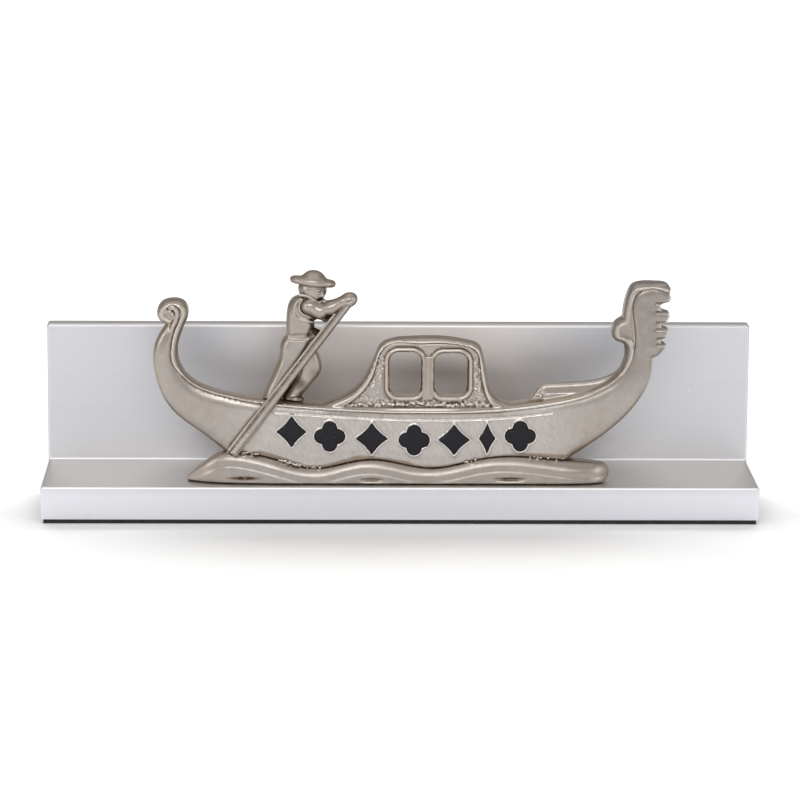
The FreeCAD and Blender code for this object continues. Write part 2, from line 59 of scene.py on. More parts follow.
WATER_LINE = [(-48.6, 8.9), (-40, 8.3), (-32, 6.1), (-24, 4.4), (-15, 5.9), (-8, 6.9), (0, 5.8),
              (9, 4.5), (18, 6.1), (25, 7.5), (32, 7.9), (40, 7.4), (46.2, 6.8)]
STERN_POST = [(-65, 45), (-67.9, 40), (-68.7, 35.5), (-67.9, 30), (-66.2, 24.9), (-62.7, 19.9),
              (-56.2, 14.9), (-48.6, 8.9)]
GUNWALE = [(62.3, 36), (60.8, 32.3), (55, 27.7), (45, 24.9), (33, 23), (12, 21.6), (0, 21.6),
           (-25, 22.8), (-45, 24.9), (-54, 27.2), (-59.5, 30.8), (-61.9, 36.5), (-61.4, 40.8),
           (-59.9, 45)]
SCROLL = [(-59.9, 45), (-58.8, 48.6), (-60.1, 51.2), (-63.1, 51.9), (-66.1, 51), (-67.5, 48.4),
          (-66.9, 46.4), (-65, 45)]
STEM = [(46.2, 6.8), (55, 12.7), (62.7, 19.3), (67.2, 25.2), (69.6, 31.5), (69.7, 35.6)]
COMB = [
    [(69.7, 35.6), (71.4, 36.4), (73, 38.2), (73.7, 39.5)],
    [(73.7, 39.5), (72.7, 39.9), (72, 40.5), (72.5, 41.2), (73.5, 41.7)],
    [(73.5, 41.7), (74, 42.8), (74, 44)],
    [(74, 44), (72.9, 44.3), (72, 45), (72.4, 45.7), (73.7, 46.2)],
    [(73.7, 46.2), (74.3, 47.4), (74.2, 48.7)],
    [(74.2, 48.7), (73.1, 48.9), (71.9, 49.7), (71.7, 50.5), (72.6, 51.3), (74.3, 51.6)],
    [(74.3, 51.6), (74.6, 52.8), (74.3, 54), (74.6, 55.2)],
]
IRON_TOP = [(74.6, 55.2), (73.8, 56.3), (70.7, 57), (66.5, 57), (64, 56.2), (62.6, 53.8),
            (61.8, 51), (61.3, 47)]
NECK = [(61.3, 47), (60, 46.3), (59.1, 45.4), (58.5, 43.6), (58.9, 41.4), (60.1, 40.5),
        (61.7, 39.9), (62.5, 38.4), (62.3, 36)]
RAIL_LINE = [(-58.7, 28.7), (-50, 25), (-25, 21.4), (0, 20.3), (20, 20.4), (40, 22.1), (55, 26.4),
             (62, 31.6), (64.9, 39), (64.4, 47), (65.2, 53.6), (68.1, 55.4), (74, 54.2)]
CABIN_TOP = [(-22, 22.6), (-16.8, 24.5), (-12, 27.6), (-8.9, 32.1), (-7.1, 36.3), (-5.6, 39.2),
             (-3.2, 40.5), (3, 41.3), (12, 41.3), (18.4, 40.3), (21.8, 38.9), (22.9, 36.1),
             (24.1, 29.9), (25.6, 25.3), (30, 22.8)]
CABIN_FACE = [(-16.4, 21.8), (-14.6, 22.8), (-12, 24.8), (-9.9, 27.2), (-8.2, 30.1), (-6.6, 34.8),
              (-5.5, 37.7), (-3.6, 39.4), (3, 40), (12, 40), (18.4, 39.1), (20.9, 37.8),
              (22, 34.4), (22.6, 30.1), (23.4, 26.5), (24.9, 23), (26, 21.8)]
FORE_DECK = [(34, 22.4), (37.2, 25), (39.4, 27.7), (41.5, 28.1), (50.5, 28.6), (58.2, 30.4),
             (61.8, 33.5), (62.1, 39)]
WAVE_END = [(46.2, 6.8), (55, 5.9), (57.9, 4.7), (58.3, 3), (57.4, 1), (56, 0)]
WAVE_TIP = [(-58.9, 0), (-59.5, 0.5), (-58.5, 2.2), (-56.5, 4.1), (-54, 6), (-51, 8),
            (-48.6, 8.9)]

# Depths of the fronts: boat's side, its rail, the cabin's wall, the wave and the oar's axis.
SIDE_DEPTH, RAIL_DEPTH, WALL_DEPTH, WAVE_DEPTH, OAR_DEPTH = 5.5, 6.2, 4.5, 6.9, 6.6

# Left edge, right edge and top of each cabin window.
WINDOWS = [(-3.2, 5.7, 37.4), (9.3, 18.6, 37.1)]
WINDOW_SILL = 24.8
WINDOW_CORNER = 2.6
FRAME_WIDTH = 1.65

# Kind, middle x, middle z, half width and half height of each enamel ornament.
LOBE_RADIUS = 2.05
ORNAMENTS = [
    ("lozenge", -30.3, 14.9, 4.2, 4.5),
    ("quatrefoil", -19.7, 13.6, 4.3, 4.3),
    ("lozenge", -8, 13, 4.5, 4.5),
    ("quatrefoil", 3.8, 12.6, 4.3, 4.3),
    ("lozenge", 14.9, 12.7, 4.5, 4.4),
    ("lozenge", 24.1, 13.1, 2.3, 4.4),
    ("quatrefoil", 33.3, 13.8, 4.3, 4.3),
]


def smooth_curve(points, steps=8):
    """Points along a cubic spline through the given ones, natural at both ends."""
    path = np.array(points, float)
    if len(path) == 2:
        return path
    chord = np.concatenate([[0], np.cumsum(np.linalg.norm(np.diff(path, axis=0), axis=1))])
    gaps = np.diff(chord)
    system = np.zeros((len(path), len(path)))
    right = np.zeros(path.shape)
    system[0, 0] = system[-1, -1] = 1
    for i in range(1, len(gaps)):
        system[i, i - 1:i + 2] = gaps[i - 1], 2 * (gaps[i - 1] + gaps[i]), gaps[i]
        slope_after = (path[i + 1] - path[i]) / gaps[i]
        slope_before = (path[i] - path[i - 1]) / gaps[i - 1]
        right[i] = 6 * (slope_after - slope_before)
    bend = np.linalg.solve(system, right)
    drawn = []
    for i, gap in enumerate(gaps):
        for u in np.arange(steps) / steps * gap:
            v = gap - u
            cubic = (bend[i] * v ** 3 + bend[i + 1] * u ** 3) / (6 * gap)
            line = (path[i] / gap - bend[i] * gap / 6) * v
            line += (path[i + 1] / gap - bend[i + 1] * gap / 6) * u
            drawn.append(cubic + line)
    drawn.append(path[-1])
    return np.array(drawn)


def closed_outline(stretches):
    """One closed polygon from stretches that follow each other."""
    return np.concatenate([smooth_curve(stretch)[:-1] for stretch in stretches])


def follow(points, x):
    """Height of a smooth line over x."""
    line = smooth_curve(points)
    return np.interp(x, line[:, 0], line[:, 1])


def unit(value):
    """Value kept between 0 and 1."""
    return np.clip(value, 0, 1)


def line_gap(x, z, path):
    """Distance of points to an open line in the xz plane."""
    best = np.inf
    for (x1, z1), (x2, z2) in zip(path[:-1], path[1:]):
        run_x, run_z = x2 - x1, z2 - z1
        length = run_x ** 2 + run_z ** 2
        if length == 0:
            continue
        off_x, off_z = x - x1, z - z1
        part = unit((off_x * run_x + off_z * run_z) / length)
        gap = (off_x - part * run_x) ** 2 + (off_z - part * run_z) ** 2
        best = np.minimum(best, gap)
    return np.sqrt(best)


def box_gap(x, z, left, right, bottom, top, radius):
    """Signed distance of points to a rectangle with round corners."""
    off_x = np.abs(x - (left + right) / 2) - (right - left) / 2 + radius
    off_z = np.abs(z - (bottom + top) / 2) - (top - bottom) / 2 + radius
    outside = np.sqrt(np.maximum(off_x, 0) ** 2 + np.maximum(off_z, 0) ** 2)
    return outside + np.minimum(np.maximum(off_x, off_z), 0) - radius


# ---- solid fields

class Space:
    """Sample points that cover one casting; x, depth and z broadcast against each other."""

    def __init__(self, low, high, step):
        self.low = np.array(low, float)
        self.step = step
        axes = [np.arange(a, b + step, step) for a, b in zip(low, high)]
        self.x = axes[0][:, None, None]
        self.depth = axes[1][None, :, None]
        self.z = axes[2][None, None, :]

    def inside(self, polygon):
        """Signed distance to a closed polygon in the xz plane, negative inside."""
        path = np.concatenate([polygon, polygon[:1]])
        nearest = self.along(path)
        flips = np.zeros(nearest.shape, bool)
        for (x1, z1), (x2, z2) in zip(path, path[1:]):
            if z1 == z2:
                continue
            crosses = (self.z >= min(z1, z2)) & (self.z < max(z1, z2))
            edge_x = x1 + (self.z - z1) * (x2 - x1) / (z2 - z1)
            flips ^= crosses & (self.x < edge_x)
        return np.where(flips, -nearest, nearest)

    def along(self, path):
        """Distance to an open line in the xz plane."""
        return line_gap(self.x, self.z, path)

    def bar(self, first, second, radius_1, radius_2):
        """Round bar between two points (x, depth, z), thinner or thicker at its end."""
        run = [b - a for a, b in zip(first, second)]
        off = [axis - start for axis, start in zip((self.x, self.depth, self.z), first)]
        length = sum(part ** 2 for part in run)
        part = unit(sum(o * r for o, r in zip(off, run)) / length)
        across = [o - part * r for o, r in zip(off, run)]
        gap = np.sqrt(sum(a ** 2 for a in across))
        return gap - (radius_1 + part * (radius_2 - radius_1))

    def leaned(self, middle, lean):
        """Offsets from a point along x, depth and z, turned in the xz plane."""
        angle = math.radians(lean)
        off_x, off_z = self.x - middle[0], self.z - middle[2]
        return (off_x * math.cos(angle) - off_z * math.sin(angle), self.depth - middle[1],
                off_x * math.sin(angle) + off_z * math.cos(angle))

    def egg(self, middle, half, lean=0.0):
        """Ellipsoid with half sizes along x, depth and z, leaned in the xz plane."""
        return oval(self.leaned(middle, lean), half)


def oval(offsets, half):
    """Nearly the distance to an ellipse or ellipsoid round the origin."""
    scaled = np.sqrt(sum((off / size) ** 2 for off, size in zip(offsets, half)))
    slope = np.sqrt(sum((off / size ** 2) ** 2 for off, size in zip(offsets, half)))
    return scaled * (scaled - 1) / np.maximum(slope, 1e-6)


def window(space, middle, reach):
    """The part of a space near a point, and the slices that cut it from a full field."""
    cuts = []
    for axis, place in zip((space.x, space.depth, space.z), middle):
        low, high = np.searchsorted(axis.ravel(), (place - reach, place + reach))
        cuts.append(slice(low, max(high, low + 1)))
    near = Space.__new__(Space)
    near.x = space.x[cuts[0]]
    near.depth = space.depth[:, cuts[1]]
    near.z = space.z[:, :, cuts[2]]
    return near, tuple(cuts)


def add_rope(space, solid, points, start_radius, end_radius, fillet):
    """Round cord along points (x, depth, z), joined to the metal piece by piece."""
    path = smooth_curve(points)
    radii = np.linspace(start_radius, end_radius, len(path))
    rope = np.full(solid.shape, 9.0)
    for first, second, near_radius, far_radius in zip(path[:-1], path[1:], radii, radii[1:]):
        near, cuts = window(space, (first + second) / 2, near_radius + 3 * fillet + 1.0)
        part = near.bar(first, second, near_radius, far_radius)
        rope[cuts] = np.minimum(rope[cuts], part)
    return join(solid, rope, fillet)


def add_beads(space, solid, beads, fillet):
    """Small round beads (middle, radius) joined to the metal."""
    for middle, radius in beads:
        near, cuts = window(space, middle, radius + 3 * fillet + space.step)
        bead = near.bar(middle, (middle[0] + 0.01, middle[1], middle[2]), radius, radius)
        solid[cuts] = join(solid[cuts], bead, fillet)
    return solid


def meet(a, b, radius):
    """What lies in both fields, with the edge between them rounded."""
    round_off = np.sqrt(np.maximum(a + radius, 0) ** 2 + np.maximum(b + radius, 0) ** 2)
    return np.minimum(-radius, np.maximum(a, b)) + round_off


def join(a, b, radius):
    """Both fields together, with a fillet between them."""
    weight = unit(0.5 + 0.5 * (b - a) / radius)
    return b * (1 - weight) + a * weight - radius * weight * (1 - weight)


def carve(a, b, radius):
    """First field less the second, with soft edges."""
    return -join(-a, b, radius)


def relief(space, outline, thickness, front_round, back_round=0.25, start=0.0):
    """Flat-backed relief: an outline, raised to a thickness, with rounded front edges."""
    solid = meet(outline, space.depth - thickness, front_round)
    return meet(solid, start - space.depth, back_round)


def groove(space, points, front, radius):
    """Round-bottomed line cut or raised along a path on a front face."""
    return tube(space, space.along(smooth_curve(points)), front, radius)


def tube(space, gap, front, radius):
    """Round cord at a depth, where a gap in the xz plane is nought."""
    return np.sqrt(gap ** 2 + (space.depth - front) ** 2) - radius


# ---- meshes

def read_mesh(items, name, width, kind=np.float32):
    """One property of all a mesh's vertices or edges, a row for each."""
    values = np.empty(len(items) * width, kind)
    items.foreach_get(name, values)
    return values.reshape(-1, width)


def set_weight(piece, name, weight):
    """A number for each vertex, for the materials to read."""
    attribute = piece.data.attributes.new(name, "FLOAT", "POINT")
    attribute.data.foreach_set("value", weight.astype(np.float32))


def mark_bends(piece):
    """Vertex weight "bend": above 0.5 on ridges, below it in creases, evened out a little."""
    mesh = piece.data
    count = len(mesh.vertices)
    places = read_mesh(mesh.vertices, "co", 3)
    normals = read_mesh(mesh.vertices, "normal", 3)
    ends = read_mesh(mesh.edges, "vertices", 2, np.int32)
    first, second = ends.T
    run = places[second] - places[first]
    run /= np.maximum(np.linalg.norm(run, axis=1), 1e-9)[:, None]
    touching = np.bincount(ends.ravel(), minlength=count).clip(1)
    fall = (np.bincount(first, (normals[first] * run).sum(1), count)
            - np.bincount(second, (normals[second] * run).sum(1), count)) / touching
    bend = np.arccos(np.clip(fall, -1, 1)) / math.pi
    for _ in range(2):
        around = np.bincount(first, bend[second], count) + np.bincount(second, bend[first], count)
        bend = 0.5 * bend + 0.5 * around / touching
    set_weight(piece, "bend", bend)


def show(name, data):
    """A new object of the scene."""
    thing = bpy.data.objects.new(name, data)
    bpy.context.collection.objects.link(thing)
    return thing


def show_mesh(name, bm):
    mesh = bpy.data.meshes.new(name)
    bm.to_mesh(mesh)
    bm.free()
    return show(name, mesh)


def wrap_mesh(name, space, field, softening=1):
    """Surface net round the field's zero level, as a mesh object in the holder's frame."""
    field = np.broadcast_to(
        field, (space.x.shape[0], space.depth.shape[1], space.z.shape[2]))
    below = field < 0
    cells = tuple(n - 1 for n in field.shape)
    corners = [(i, j, k) for i in (0, 1) for j in (0, 1) for k in (0, 1)]

    def at(values, place):
        return values[tuple(slice(i, i + n) for i, n in zip(place, cells))]

    count_below = sum(at(below, c).astype(np.int8) for c in corners)
    live = (count_below > 0) & (count_below < 8)
    number = np.full(cells, -1, np.int64)
    number[live] = np.arange(live.sum())
    # A vertex for each live cell: the middle of the places where the level cuts its edges.
    total = np.zeros((live.sum(), 3))
    hits = np.zeros(live.sum())
    for a in corners:
        for axis in range(3):
            if a[axis]:
                continue
            b = list(a)
            b[axis] = 1
            low, high = at(field, a)[live], at(field, b)[live]
            crossed = (low < 0) != (high < 0)
            total[crossed] += a
            total[crossed, axis] += low[crossed] / (low - high)[crossed]
            hits[crossed] += 1
    points = space.low + (np.argwhere(live) + total / hits[:, None]) * space.step
    # A quad round each edge of the grid that the level cuts.
    quads = []
    for axis in range(3):
        u, v = (axis + 1) % 3, (axis + 2) % 3
        near = [slice(1, n) for n in cells]
        near[axis] = slice(0, cells[axis])
        far = list(near)
        far[axis] = slice(1, cells[axis] + 1)
        here, there = below[tuple(near)], below[tuple(far)]
        for entering in (True, False):
            edges = np.argwhere(here & ~there if entering else ~here & there)
            ring = []
            for du, dv in ((1, 1), (0, 1), (0, 0), (1, 0)):
                shift = [0, 0, 0]
                shift[u], shift[v] = du, dv
                ring.append(number[tuple((edges + shift).T)])
            ring = np.stack(ring, axis=1)
            quads.append(ring if entering else ring[:, ::-1])
    places = np.array([0, BACK, TREAD]) + points * MM * (1, -1, 1)
    # Depth runs against the frame's Y axis, so the faces are turned round.
    faces = np.concatenate(quads)[:, ::-1]
    mesh = bpy.data.meshes.new(name)
    mesh.from_pydata(places.tolist(), [], faces.tolist())
    mesh.validate()
    mesh.shade_smooth()
    piece = show(name, mesh)
    soften = piece.modifiers.new("soften", "SMOOTH")
    soften.factor = 0.5
    soften.iterations = softening
    mark_bends(piece)
    return piece


# ---- the boat

def ornament_outline(kind, x, z, half_width, half_height, margin=0.0):
    """Closed enamel outline: a curved lozenge, or four round lobes."""
    wide, tall = half_width + margin, half_height + margin
    if kind == "lozenge":
        points = [(wide, 0), (0, tall), (-wide, 0), (0, -tall)]
        outline = closed_outline(
            [(x1, z1), (0.44 * (x1 + x2), 0.44 * (z1 + z2)), (x2, z2)]
            for (x1, z1), (x2, z2) in zip(points, points[1:] + points[:1]))
    else:
        lobe = LOBE_RADIUS + margin
        reach = half_width - LOBE_RADIUS
        notch = (reach + math.sqrt(2 * lobe ** 2 - reach ** 2)) / 2
        half_turn = math.atan2(notch, notch - reach)
        facing = np.repeat(np.arange(4) * math.pi / 2, 16)
        turn = facing + np.tile(np.linspace(-half_turn, half_turn, 16, endpoint=False), 4)
        outline = np.stack([reach * np.cos(facing) + lobe * np.cos(turn),
                            reach * np.sin(facing) + lobe * np.sin(turn)], axis=1)
    return outline + np.array((x, z))


# Where the rail leaves the boat's side, carried round inside the stern's curl and out
# again along the curl's round end.
CURL_LINE = [(-67.2, 45.1), (-65.1, 45.3), (-63.9, 45.7), (-63.1, 46.4), (-62.7, 47.5),
             (-63.1, 48.5), (-64, 49), (-64.8, 49.3), (-64.2, 50.3), (-62.9, 50.6), (-61.6, 49.8),
             (-61.1, 48.3), (-61.3, 46.9), (-62, 45.1), (-63, 42.7), (-63.5, 40.3), (-63.8, 37),
             (-63.5, 34.6), (-61.9, 31.9)]
CURL_CORE = [(-63.5, 4.7, 43.2), (-62.7, 4.9, 45.3), (-62, 5, 47.2), (-62, 5, 48.7),
             (-62.7, 5, 49.7), (-63.8, 4.9, 49.8)]
UNDER_RAIL = [(-35, 20.6), (-20, 19.6), (0, 18.7), (15, 18.6), (30, 19.3), (42, 20.6)]
# Lines that run in from both lips of each notch: left end, middle z and half height.
COMB_LIPS = [[(left, middle + side * half), (74.5, middle + 1.15 * side * half)]
             for left, middle, half in ((70.9, 40.7, 0.8), (70.7, 45.1, 0.9), (70.4, 50.2, 1.2))
             for side in (-1, 1)]
ARCH = [(-16.5, 22.4), (-13.6, 23.7), (-12.2, 25), (-10.9, 25.4), (-9.6, 24.6), (-9.4, 22.2)]


def window_gap(x, z, left, right, top):
    """Signed distance of points to one of the cabin's openings."""
    return box_gap(x, z, left, right, WINDOW_SILL, top, WINDOW_CORNER)


def wall_beads():
    """Rough casting skin: rows along the wall's foot and columns at its two ends."""
    rng = np.random.default_rng(7)
    beads = []
    for x in np.arange(-15.5, 27.0, 0.75):
        z = 22.5 + rng.uniform(-0.25, 0.5)
        beads.append(((x + rng.uniform(-0.3, 0.3), 4.7, z), rng.uniform(0.35, 0.6)))
    for x in np.arange(-6, 24, 1.1):
        beads.append(((x + rng.uniform(-0.4, 0.4), 4.7, 23.3 + rng.uniform(-0.2, 0.4)),
                      rng.uniform(0.25, 0.42)))
    for low, high, left, right, lean in ((25.5, 36.5, -8.4, -5.9, 1.6),
                                         (24.5, 37.0, 20.6, 22.2, -0.3)):
        for z in np.arange(low, high, 0.42):
            x = rng.uniform(left, right) + (z - low) / (high - low) * lean
            beads.append(((x, 4.5, z), rng.uniform(0.26, 0.44)))
    return beads


def add_cabin(space, solid):
    """Cabin with a swept band, two framed windows and a rough lower wall."""
    base = [(30, 19), (-22, 19)]
    outline = space.inside(np.concatenate([smooth_curve(CABIN_TOP), base]))
    face = space.inside(smooth_curve(CABIN_FACE))
    cabin = relief(space, outline, 5.6 - 0.9 * unit(1 + outline / 1.3), 0.7)
    cabin = carve(cabin, meet(face, WALL_DEPTH - space.depth, 0.05), 0.12)
    seam = tube(space, face + 0.1, WALL_DEPTH, 0.3)
    cabin = carve(cabin, meet(seam, 22.5 - space.z, 0.2), 0.1)
    cabin = join(cabin, groove(space, ARCH, 4.6, 0.3), 0.2)
    for x in (-6.3, 7.4, 12.2):
        cabin = join(cabin, groove(space, [(x, 22.2), (x, 24.4)], 4.7, 0.28), 0.2)
    post = relief(space, box_gap(space.x, space.z, 6.0, 9.0, 23.8, 36.4, 0.5), 5.1, 0.4)
    cabin = join(cabin, post, 0.3)
    openings = [window_gap(space.x, space.z, *place) for place in WINDOWS]
    for opening in openings:
        cabin = carve(cabin, tube(space, opening - FRAME_WIDTH, WALL_DEPTH, 0.24), 0.05)
        cabin = join(cabin, tube(space, opening - 0.62, 4.4, 0.82), 0.1)
    cabin = add_beads(space, np.array(cabin), wall_beads(), 0.1)
    for opening in openings:
        cabin = carve(cabin, opening, 0.12)
    return join(solid, cabin, 0.35)


def add_fore_deck(space, solid):
    """Deck that slopes up and back from the rail to its own top edge."""
    outline = space.inside(np.concatenate([smooth_curve(FORE_DECK),
                                           [(65.5, 39.0), (65.5, 30.0), (45, 21.0)]]))
    deck = relief(space, outline, np.clip(3.2 - 0.6 * outline, 3.2, 4.7), 0.5)
    solid = join(join(solid, deck, 0.3), tube(space, outline + 0.3, 3.1, 0.36), 0.5)
    rng = np.random.default_rng(3)
    beads = [((38.2 + rng.uniform(-0.9, 1.0), 4.3 + rng.uniform(0, 0.8),
               25.0 + rng.uniform(-0.6, 0.9)), rng.uniform(0.2, 0.4)) for _ in range(12)]
    return add_beads(space, solid, beads, 0.15)


def make_boat():
    space = Space((-70, -1, 4), (76, 7.8, 58.5), 0.33)
    hull = space.inside(closed_outline(
        [WATER_LINE, STEM] + COMB + [IRON_TOP, NECK, GUNWALE, SCROLL, STERN_POST]))
    panel = space.inside(np.concatenate([smooth_curve(CURL_LINE + RAIL_LINE),
                                         [(80, 54.2), (80, 0), (-75, 0), (-75, 45.2)]]))
    # Side of the boat: gently crowned, turned in towards its lower edge.
    curl_drop = 0.45 * unit((space.z - 42.5) / 3.5) * (space.x < 0)
    over_water = space.z - follow(WATER_LINE, space.x)
    joint = unit(1.5 - over_water / 2.5) * unit((48 - np.abs(space.x)) / 4)
    # Square-cut comb at the bow, rounder edges elsewhere.
    comb = unit((space.x - 68.0) / 3.0) * unit((space.z - 37.5) / 2.0)
    rim = unit(1 + hull / 4.0) ** 2
    crown = SIDE_DEPTH - curl_drop - (1.1 - 0.95 * comb - 0.8 * joint) * rim
    edge = 1.0 - 0.6 * np.maximum(comb, joint)
    solid = relief(space, hull, crown, edge)
    # Gunwale rail and the bow iron's border, with the line where they leave the side.
    rail_front = RAIL_DEPTH - 1.1 * unit(1 + hull / 1.5) ** 1.5
    rail_front = rail_front - 0.5 * unit((-hull - 1.5) / 0.8)
    rail = meet(relief(space, hull, rail_front, np.minimum(edge, 0.7)), -panel, 0.15)
    solid = join(solid, rail, 0.12)
    solid = carve(solid, tube(space, panel + 0.1, SIDE_DEPTH - curl_drop, 0.3), 0.1)
    solid = add_rope(space, solid, CURL_CORE, 0.65, 0.9, 0.2)
    solid = add_cabin(space, solid)
    solid = add_fore_deck(space, solid)
    solid = carve(solid, groove(space, UNDER_RAIL, SIDE_DEPTH, 0.34), 0.12)
    for lip in COMB_LIPS:
        solid = carve(solid, groove(space, lip, 5.4, 0.36), 0.08)
    for place in ORNAMENTS:
        cell = space.inside(ornament_outline(*place))
        solid = join(solid, relief(space, cell - 0.45, 5.8, 0.3), 0.15)
        solid = carve(solid, meet(cell, 5.1 - space.depth, 0.05), 0.08)
    return wrap_mesh("boat", space, solid)


# ---- the wave

RIDGE = [(-59, 2.2), (-52, 6.2), (-48, 7.2), (-42, 6.6), (-38, 5.7), (-34, 4.6), (-30, 3.5),
         (-26, 2.8), (-22, 2.8), (-15, 4.5), (-9, 5.4), (-3, 4.7), (4, 3.2), (8, 3), (12, 3.3),
         (16, 4.1), (20, 5.1), (24, 5.8), (28, 6.1), (36, 5.7), (45, 4.5), (52, 4), (60, 4.4)]
# How deep the wave is at heights measured from its ridge.
WAVE_SECTION = [(-9, 6.80), (-3, 6.78), (-2.65, 6.75), (-2.2, 6.6), (-1.8, 6.54), (-0.9, 6.5),
                (-0.2, 6.36), (0.5, 6.08), (1.3, 5.6), (2.6, 4.3), (5, 2.2)]
WAVE_PLAN = [(-60, 2.2), (-57, 3.4), (-54, 4.7), (-44, 6.3), (-34, 6.9), (46, 6.9), (52, 6.3),
             (56, 4.9), (59, 2.6)]
# Long hollows in the wave's front: middle x, middle z, half length, share of darkening.
WAVE_HOLLOWS = [(-43.5, 1.8, 5.6, 1), (30.5, 1.7, 4.6, 0.7), (-8, 1.5, 3.4, 0.4)]
# Solder along the boat's joint: ends of each run and the number of its beads.
SOLDER = [((-48.4, 9), (-39.5, 8.3), 34), ((-34, 6.7), (-26.5, 4.9), 38),
          ((-26, 4.7), (-22, 4.5), 8), ((18, 6.1), (23, 7.1), 12), ((35, 7.8), (45.5, 6.9), 10)]


def make_wave():
    space = Space((-61, -1, -1), (60, 7.8, 11.5), 0.27)
    shape = space.inside(closed_outline(
        [WATER_LINE, WAVE_END, [(56.0, 0), (-58.9, 0)], WAVE_TIP]))
    reach = np.minimum(follow(WAVE_PLAN, space.x), WAVE_DEPTH) - WAVE_DEPTH
    bulge = follow(WAVE_SECTION, space.z - follow(RIDGE, space.x))
    section = np.minimum(bulge, WAVE_DEPTH) + reach
    # Its lowest edge is set back, so the joint with the tread shows as a dark line.
    section = section - 0.7 * unit(1.4 - space.z / 0.3)
    solid = relief(space, shape, section, 0.4)
    for x, z, half, _ in WAVE_HOLLOWS:
        solid = carve(solid, space.egg((x, WAVE_DEPTH, z), (half, 0.7, 0.5)), 0.25)
    rng = np.random.default_rng(11)
    beads = []
    for start, end, count in SOLDER:
        for part in rng.uniform(0, 1, count):
            x = start[0] + part * (end[0] - start[0])
            z = start[1] + part * (end[1] - start[1]) + rng.uniform(-0.25, 0.45)
            beads.append(((x, rng.uniform(5.1, 5.9), z + 0.1), rng.uniform(0.25, 0.46)))
    solid = add_beads(space, np.array(solid), beads, 0.06)
    return wrap_mesh("wave", space, solid, 3)


# ---- the oar

OAR_TIP = (-47, 8.9)
OAR_TOP = (-15.1, 50.9)


def oar_places(x, z):
    """How far points are along the oar from its tip, and across it to its lower side."""
    run_x, run_z = OAR_TOP[0] - OAR_TIP[0], OAR_TOP[1] - OAR_TIP[1]
    length = math.hypot(run_x, run_z)
    return (((x - OAR_TIP[0]) * run_x + (z - OAR_TIP[1]) * run_z) / length,
            ((x - OAR_TIP[0]) * run_z - (z - OAR_TIP[1]) * run_x) / length)


def make_oar():
    """Round shaft that widens below the rail to a blade with a rib and a raised edge."""
    space = Space((-51, 4, 7), (-12, 9.2, 53), 0.15)
    along, across = oar_places(space.x, space.z)
    start = [tip + 0.16 * (top - tip) for tip, top in zip(OAR_TIP, OAR_TOP)]
    solid = space.bar((start[0], OAR_DEPTH, start[1]), (OAR_TOP[0], OAR_DEPTH, OAR_TOP[1]),
                      1.25, 1.25)
    half = np.interp(along, [0, 0.5, 9, 17, 23], [1.35, 1.6, 1.72, 1.5, 0.9])
    plate = meet(np.abs(across) - half, -along, 0.3)
    plate = meet(plate, along - 23, 0.5)
    blade = meet(plate, np.abs(space.depth - OAR_DEPTH) - 0.72, 0.3)
    rib = meet(tube(space, across - 0.55, OAR_DEPTH + 0.5, 0.62),
               np.maximum(-along + 0.4, along - 25), 0.4)
    edge = meet(tube(space, across + 1.25, OAR_DEPTH + 0.55, 0.3),
                np.maximum(-along + 0.6, along - 49), 0.3)
    solid = join(join(solid, blade, 0.5), rib, 0.25)
    solid = join(solid, edge, 0.2)
    return wrap_mesh("cast_oar", space, solid)


# ---- the rower

TORSO = [(-28.2, 52.9), (-29.7, 52.3), (-30.8, 51.2), (-31.5, 49.3), (-31.8, 46), (-31.7, 43.4),
         (-31.1, 41.7), (-29.5, 41.3), (-27.2, 41.2), (-25.2, 41.5), (-24.5, 42.9), (-24, 44.6),
         (-24, 46.4), (-23.4, 48), (-21.8, 49.4), (-20.8, 51), (-22.4, 52.3), (-25, 53.2),
         (-28.2, 52.9)]
TROUSERS = [(-31.4, 42.2), (-32.6, 40.8), (-33.5, 38.4), (-33.6, 36.4), (-34.6, 33.4),
            (-36.2, 29.8), (-37.8, 25.8), (-38, 23.4), (-34, 23), (-31.8, 26.2), (-29.2, 30.6),
            (-26.6, 35.2), (-24.6, 39.2), (-24.3, 41.4), (-25.6, 42.4), (-28.5, 42.5),
            (-31.4, 42.2)]
FRONT_LEG = [(-25.5, 38.6), (-23.3, 37), (-22.3, 34.6), (-22, 32.6), (-22.7, 30.6), (-24.6, 28.2),
             (-26.6, 25.8), (-27.7, 24.2), (-28, 23), (-32.6, 23), (-31.2, 26.6), (-29.4, 29.8),
             (-28.6, 33.2), (-28.2, 37), (-25.5, 38.6)]
ARMHOLE = [(-27.8, 52.4), (-28.9, 51.4), (-29.6, 49.8), (-29.4, 47.8), (-28.4, 46.8),
           (-26.8, 46.3), (-24.4, 45.9)]
ARMHOLE_INNER = [(-27, 52.3), (-28, 50.9), (-28.1, 49.4), (-27.4, 48.4), (-26, 47.8),
                 (-23.8, 46.8)]
ARM_CREASE = [(-26.4, 52.5), (-27.4, 50.8), (-27.4, 49.5), (-26.6, 48.7), (-25.2, 48.1),
              (-23.4, 47.1), (-21.6, 46.5)]
COLLAR = [(-28, 53.6), (-26.5, 53.4), (-24.6, 52.6), (-23.2, 51.5), (-22.2, 50.8)]
COLLAR_POINT = [(-22.4, 51.7), (-21.4, 51.9), (-20.4, 51.7)]
TROUSER_FOLD = [(-36.6, 28.6), (-35.2, 31.2), (-34, 34.4)]
UNDER_HEM = [(-31.9, 41.7), (-30.2, 41.2), (-27.6, 41), (-24.9, 41.5)]


